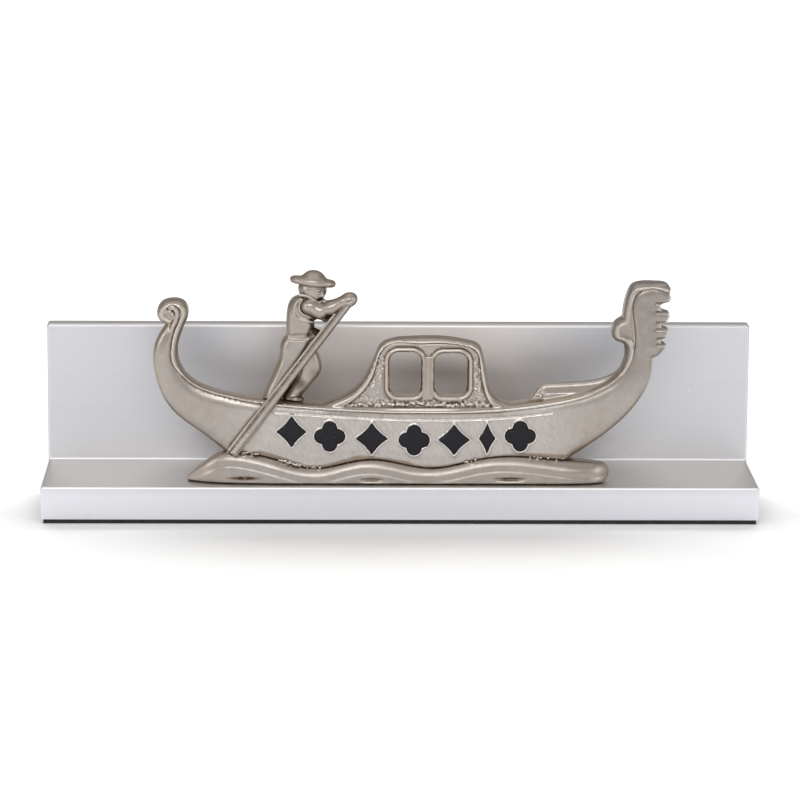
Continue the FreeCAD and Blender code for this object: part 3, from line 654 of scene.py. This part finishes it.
def make_head(space):
    """Head with a calm, plain face turned to the right and a little down."""
    middle = np.array([-24.5, 3.3, 54.7])
    forward, upward = np.array([0.80, 0.56, -0.20]), np.array([0.17, 0.10, 0.98])
    sideways = np.cross(upward, forward)

    def place(ahead, side, up):
        return middle + ahead * forward + side * sideways + up * upward

    def add_eggs(head, rows, side=1):
        for ahead, out, up, half, fillet in rows:
            head = join(head, space.egg(place(ahead, out * side, up), half), fillet)
        return head

    head = add_eggs(space.egg(middle, (3.9, 2.9, 3.4), 6), [(1.1, 0, -1.7, (2.2, 1.8, 1.45), 0.8)])
    for side in (-1, 1):
        head = carve(head, space.egg(place(3.25, 1.1 * side, 0.1), (0.72, 0.72, 0.38)), 0.45)
        # Eyelid, brow and ear.
        head = add_eggs(head, [(2.8, 1.05, 0.0, (0.46, 0.46, 0.26), 0.15),
                               (2.85, 1.0, 0.68, (0.68, 0.55, 0.22), 0.3),
                               (-0.2, 2.7, -0.3, (0.5, 0.5, 0.75), 0.25)], side)
    head = join(head, space.bar(place(3.0, 0, 0.3), place(3.6, 0, -0.85), 0.3, 0.45), 0.35)
    # Upper lip, lower lip and the back of the head.
    return add_eggs(head, [(2.95, 0, -1.6, (0.52, 0.52, 0.16), 0.15),
                           (2.85, 0, -2.05, (0.5, 0.5, 0.18), 0.15),
                           (-1.1, 0, 0.0, (3.2, 2.9, 2.7), 0.15)])


def make_hat(space):
    """Straw hat: a thick round-edged brim, tipped to the right, and a low crown."""
    x, depth, z = space.leaned((-24.45, 3.35, 56.95), 7)
    half_thick = 0.95
    brim = meet(oval((x, depth), (6.4, 3.4)), np.abs(z) - half_thick, half_thick * 0.95)
    return join(brim, space.egg((-24.2, 3.35, 57.4), (3.35, 2.9, 2.75), 7), 1.3)


def make_rower():
    """Flat-backed figure in low relief: trousers, vest, bare arms and a straw hat."""
    space = Space((-41, -0.8, 22), (-11, 9.6, 61.5), 0.16)

    def layer(outline, thickness, front_round):
        return relief(space, space.inside(smooth_curve(outline)), thickness, front_round, 0.6)

    def add_limb(solid, joints, fillet):
        for (first, near_radius), (second, far_radius) in zip(joints, joints[1:]):
            solid = join(solid, space.bar(first, second, near_radius, far_radius), fillet)
        return solid

    # Bent front leg behind a straight, baggy rear leg.
    figure = layer(FRONT_LEG, 4.1, 2.0)
    figure = join(figure, space.egg((-28.9, 3.4, 23.9), (2.0, 1.4, 1.0), 4), 0.5)
    legs = layer(TROUSERS, 5.2, 2.4)
    legs = join(legs, space.egg((-36.4, 3.2, 23.9), (2.0, 1.6, 1.0), 4), 0.4)
    legs = carve(legs, groove(space, TROUSER_FOLD, 5.0, 0.3), 0.8)
    figure = join(figure, legs, 0.15)
    # Vest: swells over the trousers and closes in a hem at the waist.
    figure = join(figure, layer(TORSO, 5.6, 2.5), 1.1)
    figure = carve(figure, groove(space, UNDER_HEM, 5.2, 0.35), 0.3)
    figure = add_limb(figure, [((-26.0, 3.1, 51.5), 2.6), ((-25.0, 3.2, 53.6), 2.5)], 0.4)
    figure = join(figure, make_head(space), 0.3)
    figure = join(figure, make_hat(space), 0.1)
    figure = join(figure, groove(space, ARMHOLE, 5.3, 0.5), 0.15)
    figure = join(figure, groove(space, ARMHOLE_INNER, 5.6, 0.42), 0.15)
    figure = carve(figure, groove(space, ARM_CREASE, 5.9, 0.5), 0.15)
    # Far arm, then the near one, bent at the elbow, with both hands on the oar.
    figure = add_limb(figure, [((-24.8, 1.9, 49.2), 1.8), ((-20.8, 3.6, 46.9), 1.3),
                               ((-18.9, 5.4, 47.9), 1.25)], 0.3)
    arm = add_limb(space.egg((-25.2, 4.9, 50.4), (2.6, 2.2, 2.3)),
                   [((-25.2, 4.9, 50.2), 2.05), ((-22.5, 5.3, 48.8), 1.9),
                    ((-19.8, 5.7, 49.9), 1.9), ((-16.6, 6.2, 51.5), 1.75)], 1.2)
    arm = join(arm, space.egg((-14.6, 6.35, 52.35), (2.6, 2.1, 2.1), -22), 0.6)
    for x, z in ((-13.0, 51.7), (-12.7, 52.6)):
        arm = carve(arm, groove(space, [(-15.0, z - 0.6), (x, z)], 8.3, 0.28), 0.3)
    figure = join(figure, arm, 0.12)
    # Web of metal between the vest and the oar, and the collar with its point.
    figure = join(figure, space.egg((-23.8, 3.8, 42.1), (2.1, 1.2, 1.8), 30), 0.8)
    figure = join(figure, groove(space, COLLAR, 5.8, 0.5), 0.15)
    figure = join(figure, groove(space, COLLAR_POINT, 5.8, 0.45), 0.15)
    # The feet end just above the rail.
    rail_top = np.interp(space.x, *zip(*sorted(GUNWALE[7:10]))) + 0.02
    figure = carve(figure, space.z - rail_top, 0.05)
    return wrap_mesh("rower", space, figure, 3)


# ---- enamel and the strip

def make_inlay(number, place):
    """Enamel poured into a cell: a slightly domed top that dips at its edge."""
    x, z, half_width, half_height = place[1:]
    space = Space((x - half_width - 0.6, 4.7, z - half_height - 0.6),
                  (x + half_width + 0.6, 6.3, z + half_height + 0.6), 0.13)
    cell = space.inside(ornament_outline(*place, margin=-0.04))
    dome = 5.72 + 0.18 * unit(-cell / 1.2)
    solid = relief(space, cell, dome, 0.3, back_round=0.05, start=5.12)
    return wrap_mesh(f"enamel_{number}", space, solid)


def make_strip():
    """Foam strip under the foot; its cut edges are a little uneven."""
    low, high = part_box("foot_pad")
    corners = [(low.x, low.y), (high.x, low.y), (high.x, high.y), (low.x, high.y)]
    inset = 0.2 * MM
    rng = np.random.default_rng(5)
    bm = bmesh.new()
    rings = []
    for level in (0.0, 0.3, 0.7, 1.0):
        swell = 0.12 * math.sin(math.pi * level)
        ring = []
        for side, (x1, y1) in enumerate(corners):
            x2, y2 = corners[side - 3]
            length = math.hypot(x2 - x1, y2 - y1)
            for part in np.linspace(0, 1, 24 if side % 2 else 160, endpoint=False):
                pull = (0.25 + rng.uniform(0, 0.125) - swell) * MM / length
                x = x1 + part * (x2 - x1) - pull * (y2 - y1)
                y = y1 + part * (y2 - y1) + pull * (x2 - x1)
                ring.append(bm.verts.new((min(max(x, low.x + inset), high.x - inset),
                                          min(max(y, low.y + inset), high.y - inset),
                                          low.z + level * (high.z - low.z))))
        rings.append(ring)
    for lower, upper in zip(rings, rings[1:]):
        for i in range(len(lower)):
            bm.faces.new((lower[i - 1], lower[i], upper[i], upper[i - 1]))
    bm.faces.new(rings[-1])
    bm.faces.new(rings[0][::-1])
    return show_mesh("strip", bm)


# ---- materials

def rgba(value):
    """Four numbers for a colour, given as three or as one grey."""
    return (*value, 1) if isinstance(value, tuple) else (value, value, value, 1)


class Recipe:
    """A node material under construction."""

    def __init__(self, name):
        self.material = bpy.data.materials.new(name)
        self.material.use_nodes = True
        self.tree = self.material.node_tree
        self.place = self.add("ShaderNodeTexCoord").outputs["Object"]

    def add(self, kind, inputs=(), **settings):
        """A node with its settings and with values or links for its named inputs."""
        node = self.tree.nodes.new(kind)
        for key, value in settings.items():
            setattr(node, key, value)
        for name, value in dict(inputs).items():
            self.feed(node.inputs[name], value)
        return node

    def feed(self, socket, value):
        """A link from another socket, or a fixed number or colour."""
        if isinstance(value, bpy.types.NodeSocket):
            self.tree.links.new(value, socket)
        else:
            socket.default_value = rgba(value) if socket.type == "RGBA" else value

    def finish(self, **sockets):
        """Feed the shader's sockets, named with underlines, and hand over the material."""
        shader = self.tree.nodes["Principled BSDF"]
        for name, value in sockets.items():
            self.feed(shader.inputs[name.replace("_", " ")], value)
        return self.material

    def stretched(self, scale, turned=0.0):
        """Place turned about the Y axis, in degrees, and then stretched."""
        vector = self.place
        for name, value in (("Rotation", (0, math.radians(turned), 0)), ("Scale", scale)):
            vector = self.add("ShaderNodeMapping", {name: value, "Vector": vector}).outputs[0]
        return vector

    def axes(self, vector):
        """The three parts of a vector, by the names X, Y and Z."""
        return self.add("ShaderNodeSeparateXYZ", {"Vector": vector}).outputs

    def facing(self):
        """The three parts of the surface's direction."""
        return self.axes(self.add("ShaderNodeNewGeometry").outputs["Normal"])

    def cells(self, scale):
        """Distance to the middle of the nearest of many scattered cells."""
        node = self.add("ShaderNodeTexVoronoi", {"Scale": scale, "Vector": self.place})
        return node.outputs["Distance"]

    def noise(self, scale, detail, rough=0.5, place=None):
        return self.add("ShaderNodeTexNoise", {"Scale": scale, "Detail": detail, "Roughness": rough,
                                               "Vector": place or self.place}).outputs["Fac"]

    def ramp(self, source, *stops):
        """Piecewise grey of a factor, from stops of (position, value)."""
        node = self.add("ShaderNodeValToRGB", {"Fac": source})
        elements = node.color_ramp.elements
        while len(elements) < len(stops):
            elements.new(0.5)
        for element, (position, value) in zip(elements, stops):
            element.position = position
            element.color = rgba(value)
        return node.outputs["Color"]

    def mix(self, factor, first, second):
        inputs = {"Factor": factor, "A": first, "B": second}
        return self.add("ShaderNodeMix", inputs, data_type="RGBA").outputs["Result"]

    def maths(self, operation, first, second=0.0):
        inputs = {0: first, 1: second}
        return self.add("ShaderNodeMath", inputs, operation=operation, use_clamp=True).outputs[0]

    def times(self, first, second):
        return self.maths("MULTIPLY", first, second)

    def bump(self, height, distance, strength, under=None):
        inputs = {"Height": height, "Distance": distance, "Strength": strength}
        if under is not None:
            inputs["Normal"] = under
        return self.add("ShaderNodeBump", inputs).outputs["Normal"]

    def hollows(self, distance):
        """1 in the open, falling to 0 deep in folds and corners."""
        node = self.add("ShaderNodeAmbientOcclusion", {"Distance": distance}, samples=8)
        return node.outputs["AO"]

    def attribute(self, name):
        """A vertex weight of the mesh."""
        return self.add("ShaderNodeAttribute", attribute_name=name).outputs["Fac"]


def nickel(name, roughness, tarnish, brushed=False):
    """Warm nickel plate: ridges bright from wear and a painted highlight, brown tarnish left in the
    hollows, dirt and painted shade where the vertex weights say, and slopes tinted tan as a painted
    reflection.
    """
    metal = Recipe(name)
    mix, ramp, noise, times = metal.mix, metal.ramp, metal.noise, metal.times
    bend = metal.attribute("bend")
    ridge = ramp(bend, (0.512, 0), (0.56, 1))
    crease = ramp(bend, (0.44, 1), (0.487, 0))
    cloud = noise(220, 3)
    deep = ramp(metal.hollows(0.0016), (0.25, 1), (0.85, 0))
    stain_and_shade = times(metal.maths("MAXIMUM", deep, crease),
                  ramp(noise(60, 2), (0.3, 0.6 * tarnish), (0.7, tarnish)))
    broken = ramp(noise(700, 3), (0.35, 0.6), (0.55, 1))
    # The tarnish is joined by dirt and painted shade, as the mesh's vertex weight gives them.
    stain_and_shade = metal.maths("MAXIMUM", stain_and_shade, times(metal.attribute("grime_and_shade"), broken))
    # Painted reflection: the plate keeps its colour on the front, while slopes that face up or out
    # are tinted tan, as if they reflected warm surroundings.
    front = times(metal.facing()["Y"], -1.0)
    front_facing = ramp(front, (0.60, 0), (0.97, 1))
    plain = mix(front_facing, (0.36, 0.285, 0.215), (0.405, 0.368, 0.345))
    blotch = ramp(noise(35, 3), (0.4, 0), (0.7, 0.45))
    plain = mix(blotch, plain, (0.36, 0.305, 0.255))
    plain = mix(times(cloud, 0.35), plain, (0.47, 0.44, 0.41))
    skin = metal.bump(noise(1500, 4), 0.00004, 0.5)
    skin = metal.bump(noise(260, 2), 0.00010, 0.4, skin)
    if brushed:
        field, walls = metal.attribute("side_panel"), metal.attribute("stippled")
        strokes = noise(1.0, 2, 0.6, metal.stretched((3400, 300, 330), 24))
        marks = ramp(strokes, (0.38, 0), (0.62, 1))
        rubbed = mix(marks, (0.48, 0.445, 0.425), (0.60, 0.565, 0.545))
        plain = mix(times(field, 0.75), plain, rubbed)
        pits = noise(1500, 3)
        marks = ramp(pits, (0.42, 0), (0.55, 1))
        pitted = mix(marks, (0.30, 0.25, 0.21), (0.60, 0.56, 0.53))
        plain = mix(times(walls, 0.6), plain, pitted)
        # Tan weight: a painted reflection of the wave on the lower edge and posts, and the same tan
        # on the window frames.
        plain = mix(metal.attribute("tan"), plain, (0.37, 0.305, 0.245))
        # The bow iron painted a darker grey towards its top and tip.
        plain = mix(metal.attribute("darker_bow"), plain, (0.33, 0.295, 0.272))
        skin = metal.bump(strokes, 0.00005, field, skin)
        skin = metal.bump(pits, 0.0004, walls, skin)
    mottled = noise(420, 5, 0.65)
    bright = ramp(mottled, (0.52, 0), (0.72, 0.22))
    dark = ramp(mottled, (0.30, 0.22), (0.47, 0))
    plain = mix(dark, mix(bright, plain, (0.60, 0.565, 0.53)), (0.25, 0.215, 0.185))
    # Ridges paler, from wear and as a painted highlight.
    worn_and_highlit = mix(times(ridge, 0.75), plain, (0.86, 0.81, 0.75))
    # Tarnish, dirt and painted shade darken the plate to brown, and near black where strongest.
    stained_and_shaded = mix(stain_and_shade, worn_and_highlit, (0.20, 0.125, 0.072))
    rough = mix(cloud, roughness - 0.05, roughness + 0.08)
    rough = mix(metal.maths("SUBTRACT", 1.0, front_facing), rough, roughness + 0.13)
    return metal.finish(
        Base_Color=mix(times(stain_and_shade, stain_and_shade), stained_and_shaded, (0.06, 0.042, 0.03)),
        Roughness=mix(stain_and_shade, rough, 0.6), Metallic=1.0, Normal=skin)


def anodised():
    """Satin aluminium: die lines along the length, specks, paler filed ends, and painted light and
    shade by height, facing and place.
    """
    metal = Recipe("anodised")
    mix, ramp, noise, times = metal.mix, metal.ramp, metal.noise, metal.times
    place, facing = metal.axes(metal.place), metal.facing()
    lines = noise(1.0, 6, 0.6, metal.stretched((6, 2600, 2600)))
    broad = noise(1.0, 3, 0.5, metal.stretched((3, 260, 260)))
    speck = times(ramp(metal.cells(260), (0.03, 1), (0.07, 0)),
                  ramp(noise(130, 1), (0.56, 0), (0.62, 1)))
    tone = mix(noise(45, 3), (0.64, 0.645, 0.68), (0.69, 0.695, 0.735))
    tone = mix(ramp(lines, (0.3, 0), (0.7, 0.35)), tone, (0.74, 0.745, 0.775))
    # Painted light and shade: the foot's front paler as a painted reflection of the floor, the
    # tread a duller, warmer grey as painted shade, the upright's top a paler grey, and the long
    # edges bright as a painted highlight.
    low = ramp(place["Z"], (0.0092, 1), (0.0098, 0))
    tone = mix(low, tone, (0.81, 0.815, 0.865))
    level = ramp(facing["Z"], (0.85, 0), (0.97, 1))
    high = ramp(place["Z"], (0.03, 0), (0.035, 1))
    tone = mix(level, tone, mix(high, (0.72, 0.69, 0.655), (0.80, 0.79, 0.78)))
    edge = ramp(facing["Z"], (0.15, 0), (0.35, 1), (0.75, 1), (0.9, 0))
    tone = mix(edge, tone, mix(high, (0.97, 0.97, 0.975), (0.76, 0.75, 0.745)))
    # Painted shade: the back edge of the upright's top a darker grey.
    rear = times(ramp(place["Y"], (0.0186, 0), (0.0192, 1)),
                 ramp(facing["Z"], (0.2, 0), (0.5, 1)))
    tone = mix(rear, tone, (0.58, 0.545, 0.53))
    # Painted light: behind the boat the upright's front is painted a warmer, paler grey, to make up
    # for the shade the castings throw on it.
    painted_light_behind_boat = ramp(metal.maths("ABSOLUTE", place["X"]), (0.024, 0.85), (0.052, 0))
    forward = ramp(times(facing["Y"], -1.0), (0.8, 0), (0.95, 1))
    upper = ramp(place["Z"], (0.012, 0), (0.016, 1))
    painted_light_behind_boat = times(painted_light_behind_boat, times(forward, upper))
    tone = mix(painted_light_behind_boat, tone, (0.93, 0.885, 0.865))
    tone = mix(times(speck, 0.6), tone, (0.36, 0.36, 0.37))
    nick = times(ramp(noise(75, 1), (0.60, 0), (0.64, 1)),
                 ramp(metal.cells(330), (0.05, 0.8), (0.09, 0)))
    grain = metal.bump(noise(1500, 3), 0.00001, 0.4, metal.bump(lines, 0.00001, 0.3))
    return metal.finish(Base_Color=mix(nick, tone, (0.93, 0.93, 0.94)), Metallic=1.0,
                        Roughness=mix(broad, 0.44, 0.52),
                        Normal=metal.bump(speck, 0.00005, 0.6, grain))


def enamel():
    """Black stove enamel: grainy, half matt, with a few bare specks."""
    paint = Recipe("enamel")
    grain = paint.noise(1400, 4)
    speck = paint.ramp(paint.noise(900, 1), (0.74, 0), (0.80, 1))
    tone = paint.mix(grain, (0.003, 0.003, 0.005), (0.014, 0.012, 0.019))
    coarse = paint.bump(paint.noise(900, 3), 0.00025, 0.8)
    return paint.finish(Base_Color=paint.mix(paint.times(speck, 0.5), tone, (0.12, 0.12, 0.13)),
                        Roughness=paint.mix(grain, 0.38, 0.62), Specular_IOR_Level=0.28,
                        Normal=paint.bump(grain, 0.00005, 0.6, coarse))


def foam():
    """Black closed-cell foam strip."""
    strip = Recipe("foam")
    cells = strip.cells(2600)
    return strip.finish(
        Base_Color=strip.mix(strip.noise(300, 3), (0.008, 0.008, 0.009), (0.03, 0.03, 0.033)),
        Roughness=strip.mix(cells, 0.75, 0.95), Normal=strip.bump(cells, 0.0001, 0.8))


def zinc_steel():
    """Zinc-plated steel of the hidden screws and washers."""
    metal = Recipe("zinc_steel")
    return metal.finish(
        Base_Color=metal.mix(metal.noise(400, 3), (0.52, 0.53, 0.55), (0.66, 0.66, 0.66)),
        Roughness=metal.mix(metal.noise(900, 2), 0.28, 0.45), Metallic=1.0,
        Normal=metal.bump(metal.noise(1600, 2), 0.00002, 0.4))


# ---- scene

def dress(piece, material):
    piece.data.materials.clear()
    piece.data.materials.append(material)


def add_piece(piece, node, material):
    """The piece stands for a CAD node and takes its place."""
    dress(piece, material)
    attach(piece, "root")
    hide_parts(node)


def vertex_places(piece):
    """Vertices in the castings' own measures: x, depth and z in millimetres."""
    places = read_mesh(piece.data.vertices, "co", 3)
    return places[:, 0] / MM, (BACK - places[:, 1]) / MM, (places[:, 2] - TREAD) / MM


def mark_boat(boat):
    """Vertex weights: brushed side, stippled walls, tan edges as a painted reflection, dirt with
    painted shade, and the bow iron painted darker.
    """
    x, depth, z = vertex_places(boat)
    under_rail = follow(RAIL_LINE[:7], x) - z
    over_water = z - follow(WATER_LINE, x)
    inside = unit((x + 52) / 14) * unit((54 - x) / 14)
    set_weight(boat, "side_panel", np.where((under_rail > 0.2) & (depth > 4.9), inside, 0))

    wall_edge = np.interp(z, [21.8, 25.8, 30.1, 34.8, 38.0], [-16.6, -12.5, -9.5, -7.4, -6.0])
    lower_wall = (z > 21.8) & (z < 24.3) & (x > -15) & (x < 26)
    left_wall = (z > 26) & (z < 36) & (x > wall_edge) & (x < wall_edge + 2.4)
    right_wall = (z > 24) & (z < 38) & (x > 20.6) & (x < 23.2 - (z - 24) * 0.1)
    walls = (lower_wall | left_wall | right_wall) & (depth < 5.3) & (depth > 3.5)
    scraped = (under_rail > 0.2) & (under_rail < 2.2) & (x > -34) & (x < 20) & (depth > 4.9)
    set_weight(boat, "stippled", np.where(walls, 1.0, np.where(scraped, 0.25, 0.0)))

    # Tan, a painted reflection of the wave's warm top: the cast edge along the bottom and up both
    # posts; the window frames take the same tan.
    band = np.interp(x, [-42, -39, -31, -27, -20, -12, -6, 2, 4, 16, 20, 28, 35, 47],
                     [0, 1.6, 1.5, 0.8, 1.2, 1.8, 0.9, 1.3, 0.8, 0.7, 0, 0.6, 1.3, 1.9])
    tan = unit((band - over_water) / 0.3) * (band > 0.1) * (x < 46.5)
    rise = unit((14.5 - z) / 3.0)
    for post, width in ((STEM, 1.7), (STERN_POST, 1.1)):
        gap = line_gap(x, z, smooth_curve(post))
        tan = np.maximum(tan, unit((width * rise - gap) / 0.3) * (z < 14.5))
    tan = 1.3 * tan
    # Dark weight: dirt at the joint, dark lines along the rail (darkest at the stern), the cabin's
    # seam and the comb's notches, the tan edge (a painted reflection) darkened a little, and
    # painted shadow in the windows.
    crease = line_gap(x, z, smooth_curve(CURL_LINE[9:] + RAIL_LINE))
    amount = np.interp(x, [-58, -50, -30, 55, 66], [0.95, 0.9, 0.35, 0.35, 0.6])
    front = (depth > 4.6) & ((x < -20) | (x > 28) | (z < 21.5))
    seam = line_gap(x, z, smooth_curve(CABIN_FACE))
    grime_and_shade = [unit(1 - np.abs(over_water - 0.05) / 0.25) * (x > -50) * (x < 47.5),
             amount * unit(1.5 - crease / 0.2) * front,
             0.45 * unit(1.4 - seam / 0.25) * (z > 25) * (depth < 4.9),
             np.where(over_water < 4, 0.22 * tan, 0)]
    inner = unit((73.6 - x) / 1.6) * (depth < 5.45)
    for lip in COMB_LIPS:
        grime_and_shade.append(0.75 * unit(1.3 - line_gap(x, z, lip) / 0.3) * inner)
    # Painted shadow inside the windows' tops and sides, kept off the lit sill.
    above_sill = unit((z - WINDOW_SILL - 0.8) / 1.2)
    for place in WINDOWS:
        gap = window_gap(x, z, *place)
        grime_and_shade.append(unit(1.4 - gap / 0.4) * above_sill)
        tan = np.maximum(tan, unit((FRAME_WIDTH - gap) / 0.3) * (depth > 3.8))
    set_weight(boat, "grime_and_shade", np.max(grime_and_shade, axis=0))
    set_weight(boat, "tan", 0.75 * tan)
    # The bow iron painted darker towards its top and tip.
    set_weight(boat, "darker_bow", 0.9 * unit((x - 57) / 6) * unit((z - 24) / 8))


def mark_wave(wave):
    """Darker in the long hollows of the wave's front, dirt along the boat's joint, and painted
    shade along the foot where it meets the tread.
    """
    x, depth, z = vertex_places(wave)
    grime_and_shade = unit(1 - np.abs(follow(WATER_LINE, x) - z) / 0.3) * (np.abs(x) < 49)
    # Painted shade: a dark line along the foot, where it meets the tread.
    grime_and_shade = np.maximum(grime_and_shade, unit(2.6 - z / 0.25))
    for middle_x, middle_z, half, strength in WAVE_HOLLOWS:
        gap = np.sqrt(((x - middle_x) / half) ** 2 + ((z - middle_z) / 0.7) ** 2)
        grime_and_shade = np.maximum(grime_and_shade, strength * unit(1.6 - 1.6 * gap))
    set_weight(wave, "grime_and_shade", np.where(depth > 2, grime_and_shade, 0))


# Brown stains on the rower, the first two also painted shadow, in the web beside the oar and under
# the forearm: middle x, middle z, radius and strength.
STAINS_AND_SHADOWS = [(-23.4, 43.6, 2.1, 1.9), (-20.2, 47.4, 1.9, 1.2), (-27.4, 24.4, 2.2, 0.9),
          (-28, 28.2, 2.4, 0.6), (-22.2, 52.2, 1.2, 0.6), (-23.8, 31, 2.6, 0.3),
          (-24.2, 46.8, 1.4, 0.9), (-26.8, 36, 1.8, 0.35), (-24.4, 45, 1.3, 0.9),
          (-25.3, 42.3, 1.2, 0.9)]


def mark_rower(rower):
    """Brown stains where the figure meets the oar and the rail, with painted shadow under the
    forearm and in the web beside the oar.
    """
    x, depth, z = vertex_places(rower)
    grime_and_shade = np.zeros(len(x))
    for middle_x, middle_z, radius, strength in STAINS_AND_SHADOWS:
        gap = np.hypot(x - middle_x, z - middle_z) / radius
        grime_and_shade = np.maximum(grime_and_shade, strength * unit(1.5 - 1.5 * gap))
    set_weight(rower, "grime_and_shade", grime_and_shade * unit((9.3 - depth) / 1.5))


def mark_oar(oar):
    """Darker line in the groove beside the oar's raised edge."""
    x, depth, z = vertex_places(oar)
    line = unit(1.3 - np.abs(oar_places(x, z)[1] + 0.72) / 0.22)
    set_weight(oar, "grime_and_shade", np.where(depth > OAR_DEPTH, line, 0))


def add_light(name, place, aim, width, height, power, mirrored=True):
    lamp = bpy.data.lights.new(name, "AREA")
    lamp.shape = "RECTANGLE"
    lamp.size, lamp.size_y = width, height
    lamp.energy = power
    holder = show(name, lamp)
    holder.location = place
    holder.rotation_euler = (Vector(aim) - Vector(place)).to_track_quat("-Z", "Y").to_euler()
    holder.visible_glossy = mirrored


def add_floor():
    bm = bmesh.new()
    bmesh.ops.create_grid(bm, x_segments=8, y_segments=8, size=3.0)
    floor = show_mesh("floor", bm)
    paper = Recipe("paper")
    dress(floor, paper.finish(Base_Color=paper.mix(paper.noise(40, 3), 0.86, 0.9),
                              Roughness=0.9))


def add_camera():
    """In front and a touch to the left, looking down a little on the tread."""
    elevation, azimuth, roll = math.radians(11.6), math.radians(-1.2), math.radians(0.36)
    aim = Vector((-0.25 * MM, BACK - 6.9 * MM, TREAD + 24.3 * MM))
    distance = 1.1085
    lens = bpy.data.cameras.new("camera")
    lens.lens = 180
    lens.sensor_width = 36
    lens.clip_start = 0.05
    camera = show("camera", lens)
    camera.location = aim + distance * Vector((math.sin(azimuth) * math.cos(elevation),
                                               -math.cos(azimuth) * math.cos(elevation),
                                               math.sin(elevation)))
    turn = (aim - camera.location).to_track_quat("-Z", "Y")
    camera.rotation_euler = (turn @ Euler((0, 0, roll)).to_quaternion()).to_euler()
    bpy.context.scene.camera = camera


for make, mark, node, slot, roughness, tarnish in (
        (make_boat, mark_boat, "hull", "nickel_boat", 0.30, 0.65),
        (make_wave, mark_wave, "wave_base", "nickel_wave", 0.34, 0.8),
        (make_rower, mark_rower, "gondolier", "nickel_rower", 0.31, 1.0),
        (make_oar, mark_oar, "oar", "nickel_oar", 0.22, 1.0)):
    casting = make()
    mark(casting)
    add_piece(casting, node, nickel(slot, roughness, tarnish, brushed=node == "hull"))
black = enamel()
for number, place in enumerate(ORNAMENTS, start=1):
    add_piece(make_inlay(number, place), f"enamel_inlay_{number}", black)
add_piece(make_strip(), "foot_pad", foam())
dress(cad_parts["base_profile"], anodised())
steel = zinc_steel()
for node in ("fixing_screws", "screw_washers"):
    dress(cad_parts[node], steel)

world = bpy.data.worlds.new("studio")
world.use_nodes = True
sky = world.node_tree.nodes["Background"].inputs
sky["Color"].default_value = (0.92, 0.90, 0.88, 1)
sky["Strength"].default_value = 0.45
bpy.context.scene.world = world
bpy.context.scene.view_settings.view_transform = "Standard"
add_floor()
add_light("key", (-0.1, -1.0, 0.5), (0, 0, 0.03), 0.7, 0.14, 2.7)
add_light("overhead", (0, -0.12, 0.85), (0, 0, 0.02), 1.1, 0.7, 1.6)
add_light("left", (-0.75, -0.55, 0.30), (0, 0, 0.03), 0.25, 0.4, 1.1)
add_light("right", (0.75, -0.55, 0.30), (0, 0, 0.03), 0.25, 0.4, 1.1)
add_light("backdrop", (0, 1.6, 1.3), (0, 1.2, 0), 2.6, 1.6, 55, mirrored=False)
add_camera()
